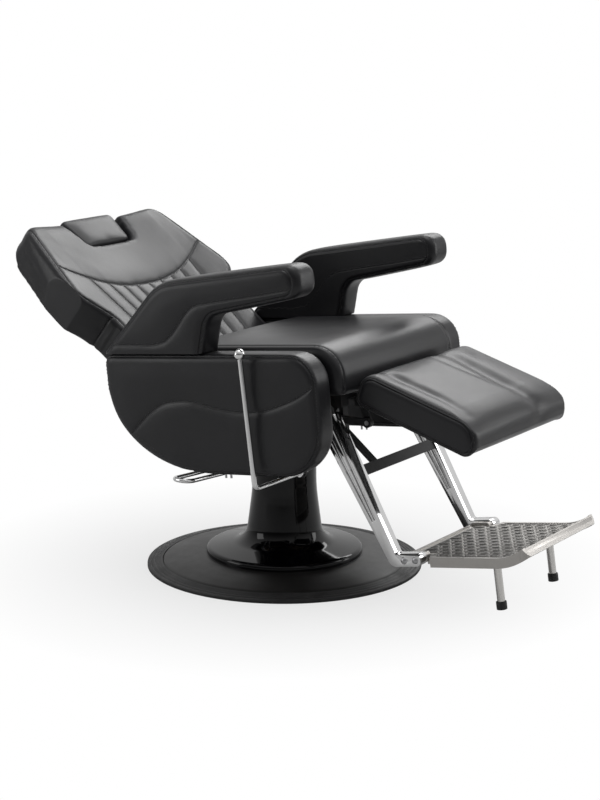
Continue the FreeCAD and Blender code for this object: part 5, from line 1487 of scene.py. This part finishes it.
@dataclass
class Base:
    """Round base: satin disc, ribbed rubber edge and gloss trumpet-shaped skirt."""

    steps: int = 160
    inner: float = 0.284
    ring_width: float = 0.036
    ring_height: float = 0.013
    ring_step: float = 0.0016
    lip: float = 0.007
    lip_round: float = 0.0022
    grooves: int = 3
    groove: Triple = (0.002, 0.0014, 0.0006)
    ribs: int = 360
    rib_height: float = 0.0005
    rib_clear: float = 0.004
    rise: float = 0.030
    dome: Triple = (0.235, 0.0247, 0.600)
    disc_round: float = 0.0012
    disc_step: float = 0.006
    flange: float = 0.182
    rim: float = 0.013
    rim_round: float = 0.008
    flare: Triple = (0.090, 0.061, 0.044)
    neck: tuple[float, float] = (0.185, 0.420)
    tube: float = 0.074
    top: float = 0.294
    wall: float = 0.004
    skirt_step: float = 0.004

    def skirt_side(self, inset: float) -> Marks:
        """Returns the skirt's corners, drawn in by a wall.

        Args:
            inset: the wall.

        Returns:
            Radius, height and rounding of each corner.
        """
        tube, flange, (across, height, bend) = self.tube - inset, self.flange - inset, self.flare
        return [(tube, self.top, 0.0), (tube, *self.neck), (across - inset, height - inset, bend),
                (flange, self.rise + self.rim - inset, self.rim_round), (flange, self.rise, 0.0)]

    def disc(self) -> None:
        """Makes the domed disc."""
        side = rounded([(0.0, 0.0, 0.0), (self.inner, 0.0, 0.0), (self.inner, self.ring_height, self.disc_round),
                        self.dome, (self.flange, self.rise, 0.0), (0.0, self.rise, 0.0)], False, self.disc_step)
        fit_out(turned("base_disc", side, self.steps, False), SATIN, Body.BASE, "base_plate")

    def ring(self) -> None:
        """Makes the edge ring, grooved round its slope and finely ribbed across it."""
        outer, (half, deep, bend) = self.inner + self.ring_width, self.groove
        fall = (self.ring_height - self.lip) / self.ring_width
        pitch = self.ring_width / (self.grooves + 1)
        slope = [(outer, 0.0, 0.0), (outer, self.lip, self.lip_round)]
        for number in range(self.grooves, 0, -1):
            at, height = self.inner + number * pitch, self.ring_height - number * pitch * fall
            slope += [(at + half, height, bend), (at, height - deep, bend), (at - half, height, bend)]
        slope += [(self.inner, self.ring_height, 0.0), (self.inner, 0.0, 0.0)]
        ring = turned("base_ring", rounded(slope, True, self.ring_step)[:-1], self.ribs * 2, True)
        coords = places(ring.data)
        spoke = np.rint(np.arctan2(coords[:, 1], coords[:, 0]) / math.tau * self.ribs * 2).astype(int) % 2
        out = np.hypot(coords[:, 0], coords[:, 1]) > self.inner + self.rib_clear
        sunk = (spoke == 1) & out & (coords[:, 2] > self.rib_clear)
        coords[:, 2] -= np.where(sunk, self.rib_height, 0.0)
        move(ring.data, coords)
        fit_out(ring, RUBBER, Body.BASE, "base_edge_ring")

    def skirt(self) -> None:
        """Makes the skirt."""
        outside = rounded(self.skirt_side(0.0), False, self.skirt_step)
        inside = rounded(self.skirt_side(self.wall), False, self.skirt_step * 2)[::-1]
        wall = np.concatenate([outside, inside])
        fit_out(turned("skirt_trumpet", wall, self.steps, True), GLOSS, Body.BASE, "column_skirt")

    def build(self) -> None:
        """Makes the disc, the ring and the skirt."""
        self.disc()
        self.ring()
        self.skirt()


@dataclass
class FootRest:
    """Leg castings and the footplate with its woven tread, legs and tips."""

    leg_edge: float = 0.0012
    tip_edge: float = 0.0015
    bolt_edge: float = 0.0005
    half_width: float = 0.168
    rear: float = 0.005
    flat: float = 0.215
    lip_radius: float = 0.117
    lip_turn: float = 34.0
    top: float = 0.005
    recess: float = 0.0015
    # Height of the painted-shade sheet over the recess floor.
    recess_skin: float = 0.0002
    recess_steps: int = 60
    border: float = 0.0125
    rim: float = 0.0105
    web: Triple = (0.318, 0.0135, 0.003)
    web_behind: float = 0.0002
    web_below: float = 0.003
    web_edge: float = 0.0006
    pitch: float = 0.0308
    first_bar: tuple[float, float] = (0.0138, 0.1275)
    bar: Triple = (0.0212, 0.0062, 0.0022)
    bar_ways: Sequence[tuple[float, float, float]] = ((30, 0, 0), (90, 0, 0.5), (150, 0.5, 0))
    bar_sides: int = 8
    bar_taper: float = 0.74
    bar_sunk: float = 0.0003
    bar_edge: float = 0.0005

    @property
    def lip_end(self) -> float:
        """The length along the plate's surface from the pivot to the lip's end."""
        return self.flat + self.lip_radius * math.radians(self.lip_turn)

    def on_plate(self, x: float, forward: float) -> Matrix:
        """Returns the tread's frame at a point of the plate.

        Args:
            x: across the plate.
            forward: along its surface from the pivot.

        Returns:
            A matrix with X across, Y along and Z out of the tread.
        """
        if forward <= self.flat:
            return Matrix.Translation((x, -forward, self.top - self.recess))
        turn = (forward - self.flat) / self.lip_radius
        radius = self.lip_radius + self.recess
        at = (x, -self.flat - radius * math.sin(turn), self.top + self.lip_radius - radius * math.cos(turn))
        return Matrix.Translation(at) @ Matrix.Rotation(-turn, 4, "X")

    def bar_places(self) -> Iterator[tuple[float, float, float]]:
        """Yields where the bars lie that fit on the plate: across, forward and the way they run, in radians.

        Yields:
            Each bar's place and direction.
        """
        reach = int(self.half_width / self.pitch) + 6
        for i in range(-reach, reach):
            for j in range(-reach, reach):
                for degrees, di, dj in self.bar_ways:
                    way = math.radians(degrees)
                    x = self.first_bar[0] + (i + di) * self.pitch * math.cos(math.radians(30))
                    forward = self.first_bar[1] - (i + di) * self.pitch * 0.5 - (j + dj) * self.pitch
                    across = self.bar[0] / 2 * abs(math.cos(way)) + self.border
                    along = self.bar[0] / 2 * abs(math.sin(way)) + self.border
                    if abs(x) <= self.half_width - across and along - self.rear <= forward <= self.lip_end - along:
                        yield x, forward, way

    def tread(self) -> bpy.types.Object:
        """Returns the woven pattern of raised bars that run three ways on the plate.

        Returns:
            The bars as one object.
        """
        bm = bmesh.new()
        length, width, height = self.bar
        size = Matrix.Diagonal((length / math.sqrt(2), width / math.sqrt(2), height, 1))
        size = size @ Matrix.Rotation(math.pi / self.bar_sides, 4, "Z")
        out = Matrix.Translation((0, 0, height / 2 - self.bar_sunk))
        for x, forward, way in self.bar_places():
            place = self.on_plate(x, forward) @ out @ Matrix.Rotation(way, 4, "Z")
            bmesh.ops.create_cone(bm, cap_ends=True, segments=self.bar_sides, radius1=1.0, radius2=self.bar_taper,
                                  depth=1.0, matrix=place @ size)
        ease_edges(bm, bm.edges[:], self.bar_edge, 1)
        bm.transform(PLATE_FRAME.matrix)
        return new_object("plate_tread", bm, MADE_TURN)

    def recess_floor(self) -> bpy.types.Object:
        """Returns a darker sheet laid over the recess between the bars, as painted shade and grime there.

        Returns:
            The sheet.
        """
        bm = bmesh.new()
        inset = self.half_width - self.rim
        edge = Vector((-inset, 0, self.recess_skin))
        along = np.linspace(-self.rear + self.rim, self.lip_end - self.rim, self.recess_steps)
        geom = chain(bm, [self.on_plate(0, forward) @ edge for forward in along], False)
        made = bmesh.ops.extrude_edge_only(bm, edges=[part for part in geom if isinstance(part, bmesh.types.BMEdge)])
        verts = [part for part in made["geom"] if isinstance(part, bmesh.types.BMVert)]
        bmesh.ops.translate(bm, verts=verts, vec=(2 * inset, 0, 0))
        bmesh.ops.recalc_face_normals(bm, faces=bm.faces[:])
        bm.faces.ensure_lookup_table()
        if bm.faces[0].normal.z < 0:
            bmesh.ops.reverse_faces(bm, faces=bm.faces[:])
        bm.transform(PLATE_FRAME.matrix)
        return new_object("plate_recess", bm)

    def lip_face(self) -> bpy.types.Object:
        """Returns the web that closes the end of the turned-up lip, just behind its face.

        Returns:
            The web.
        """
        bm = bmesh.new()
        across, deep, thick = self.web
        inward = Matrix.Translation((0, thick / 2 + self.web_behind, self.recess - deep / 2 - self.web_below))
        place = self.on_plate(0, self.lip_end) @ inward
        bmesh.ops.create_cube(bm, size=1.0, matrix=place @ Matrix.Diagonal((across, thick, deep, 1)))
        ease_edges(bm, bm.edges[:], self.web_edge, 2)
        bm.transform(PLATE_FRAME.matrix)
        return new_object("plate_lip_web", bm, MADE_TURN)

    def build(self) -> None:
        """Makes the legs, the plate's tread and lip, and its feet."""
        for side in Side:
            polished(f"leg_casting_{side.label}", f"leg_arm_{side.label}", CHROME, Body.SEAT, self.leg_edge)
        fit_out(self.tread(), TREAD_ALLOY, Body.FOOTPLATE)
        # A dark sheet in the recess: painted shade and grime between the tread's bars.
        fit_out(self.recess_floor(), RECESS_SHADE_ALLOY, Body.FOOTPLATE)
        fit_out(self.lip_face(), ALLOY, Body.FOOTPLATE)
        polished("plate_props", "plate_legs", TUBE_CHROME, Body.FOOTPLATE)
        polished("plate_tips", "plate_feet", RUBBER, Body.FOOTPLATE, self.tip_edge)
        polished("plate_bolt_heads", "bracket_bolts", ZINC, Body.SEAT, self.bolt_edge)


@dataclass
class Controls:
    """Chrome recline lever with its ball, and the pump pedal's bent loop."""

    def build(self) -> None:
        """Makes the lever, the ball and the pedal."""
        polished("lever_rod", "recline_lever", CHROME, Body.LEVER)
        polished("lever_ball", "lever_knob", CHROME, Body.LEVER)
        polished("pedal_loop", "pump_pedal", CHROME, Body.PEDAL)


@dataclass
class UnderFrame:
    """The CAD pieces that stay as they are, under and behind the upholstery."""

    finishes: dict[str, Finish] = field(default_factory=lambda: {
        "foot_plate": ALLOY, "seat_board": PLYWOOD, "lock_rod": CHROME, "piston_ram": CHROME, "headrest_posts": CHROME,
        "leg_bolts": ZINC, "hub_bolts": ZINC, "thrust_washer": ZINC, "panel_studs": ZINC, "armrest_studs": ZINC,
        "recline_shaft": ZINC, "crank_pins": ZINC, "calf_pins": ZINC, "calf_crank_pins": ZINC, "pedal_pin": ZINC})

    def build(self) -> None:
        """Gives every CAD node that still shows its finish."""
        for name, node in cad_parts.items():
            if not node.hide_render:
                node.data.materials.clear()
                node.data.materials.append(self.finishes.get(name, FRAME_COAT).material())


# Studio


def worked_out(tree: bpy.types.NodeTree, operation: str, one: Socket, other: Socket) -> Socket:
    """Adds a math node on two sockets and returns its output socket.

    Args:
        tree: the node tree.
        operation: what the node does.
        one: its first input.
        other: its second input.

    Returns:
        The result.
    """
    node = tree.nodes.new("ShaderNodeMath")
    node.operation = operation
    tree.links.new(one, node.inputs[0])
    tree.links.new(other, node.inputs[1])
    return node.outputs["Value"]


@dataclass
class Studio:
    """White floor and surround, soft boxes and the photograph's camera."""

    eye: Triple = (-3.804, -2.557, 1.381)
    look: Triple = (0.8153, 0.5388, -0.2119)
    lens: float = 91.74
    sensor: float = 36.0
    floor_half: float = 14.0
    floor_tones: tuple[float, float] = (0.50, 0.54)
    fade: tuple[float, float] = (0.30, 0.80)
    least: float = 0.72
    bright_way: Triple = (0.45, 0.10, 0.89)
    turn_to_bright: tuple[float, float] = (-0.5, 0.9)
    dim: float = 0.06
    bright: float = 0.75
    aim: Triple = (0.0, 0.0, 0.45)
    boxes: Sequence[tuple[str, Triple, tuple[float, float], float]] = (
        ("box_far_side", (2.7, 0.55, 2.7), (2.0, 1.6), 36.0),
        ("box_over", (0.2, 0.2, 3.6), (2.0, 2.0), 30.0),
        ("box_behind", (-2.3, 2.3, 1.15), (1.3, 1.5), 13.0),
        ("box_front", (2.1, -2.3, 1.3), (0.8, 2.0), 14.0),
    )

    def floor(self) -> None:
        """Lays a pale floor that keeps the chair's shadow and runs out into white."""
        bm = bmesh.new()
        bmesh.ops.create_grid(bm, x_segments=2, y_segments=2, size=self.floor_half)
        floor = new_object("studio_floor", bm)
        graph = Graph("floor_pale")
        tree = graph.material.node_tree
        mottle = graph.texture("Noise", 1.5, Detail=3.0).outputs["Fac"]
        dark, light = ((tone, tone, tone) for tone in self.floor_tones)
        graph.set(Base_Color=graph.tint(mottle, dark, light), Roughness=0.9, Specular_IOR_Level=0.1)
        far = graph.nodes.new("ShaderNodeVectorMath")
        far.operation = "LENGTH"
        graph.links.new(graph.place, far.inputs[0])
        reach = graph.spread(far.outputs["Value"], self.least, 1.0, *self.fade)
        path = graph.nodes.new("ShaderNodeLightPath")
        seen = worked_out(tree, "MAXIMUM", path.outputs["Is Camera Ray"], path.outputs["Is Transmission Ray"])
        white = graph.nodes.new("ShaderNodeEmission")
        mix = graph.nodes.new("ShaderNodeMixShader")
        graph.links.new(worked_out(tree, "MULTIPLY", reach, seen), mix.inputs["Fac"])
        graph.links.new(graph.shader.outputs["BSDF"], mix.inputs[1])
        graph.links.new(white.outputs["Emission"], mix.inputs[2])
        graph.links.new(mix.outputs["Shader"], graph.nodes["Material Output"].inputs["Surface"])
        floor.data.materials.append(graph.material)

    def surround(self) -> None:
        """Sets the world: white to the camera, brighter behind the chair than before it."""
        world = bpy.data.worlds.new("studio")
        bpy.context.scene.world = world
        world.use_nodes = True
        nodes, links = world.node_tree.nodes, world.node_tree.links
        shell = nodes["Background"]
        way = nodes.new("ShaderNodeTexCoord")
        ahead = nodes.new("ShaderNodeVectorMath")
        ahead.operation = "DOT_PRODUCT"
        ahead.inputs[1].default_value = self.bright_way
        links.new(way.outputs["Generated"], ahead.inputs[0])
        level = nodes.new("ShaderNodeMapRange")
        level.interpolation_type = "SMOOTHSTEP"
        values = (*self.turn_to_bright, self.dim, self.bright)
        for key, value in zip(("From Min", "From Max", "To Min", "To Max"), values):
            level.inputs[key].default_value = value
        links.new(ahead.outputs["Value"], level.inputs["Value"])
        path = nodes.new("ShaderNodeLightPath")
        seen = worked_out(world.node_tree, "MAXIMUM", path.outputs["Is Camera Ray"], level.outputs["Result"])
        links.new(seen, shell.inputs["Strength"])
        shell.inputs["Color"].default_value = (1, 1, 1, 1)

    def stand(self, name: str, data: bpy.types.ID, at: Triple, look: Vector) -> bpy.types.Object:
        """Stands a lamp or camera at a place, looking one way, and returns its object.

        Args:
            name: the object's name.
            data: the lamp or camera.
            at: where it stands.
            look: the way it looks.

        Returns:
            The new object.
        """
        holder = bpy.data.objects.new(name, data)
        holder.location = at
        holder.rotation_euler = look.to_track_quat("-Z", "Y").to_euler()
        bpy.context.scene.collection.objects.link(holder)
        return holder

    def soft_box(self, name: str, at: Triple, size: tuple[float, float], power: float) -> None:
        """Hangs one soft box that points at the chair.

        Args:
            name: the lamp's name.
            at: where it hangs.
            size: its width and height.
            power: its power in watts.
        """
        lamp = bpy.data.lights.new(name, "AREA")
        lamp.shape = "RECTANGLE"
        lamp.size, lamp.size_y = size
        lamp.energy = power
        self.stand(name, lamp, at, Vector(self.aim) - Vector(at))

    def camera(self) -> None:
        """Sets the photograph's camera."""
        data = bpy.data.cameras.new("photo_camera")
        data.lens = self.lens
        data.sensor_width = self.sensor
        bpy.context.scene.camera = self.stand("photo_camera", data, self.eye, Vector(self.look))

    def build(self) -> None:
        """Sets up floor, surround, lamps and camera."""
        self.camera()
        self.floor()
        self.surround()
        for box in self.boxes:
            self.soft_box(*box)
        bpy.context.scene.view_settings.view_transform = "Standard"


def main() -> None:
    """Builds the studio and the chair's sub-assemblies in order."""
    logging.basicConfig(level=logging.INFO, format="%(message)s")
    for part in (Studio(), Base(), FootRest(), Controls(), SidePanel(), Armrest(), SeatCushion(), BackRest(),
                 Headrest(), CalfRest(), UnderFrame()):
        LOG.info("building %s", type(part).__name__)
        part.build()


if __name__ == "__main__":
    main()
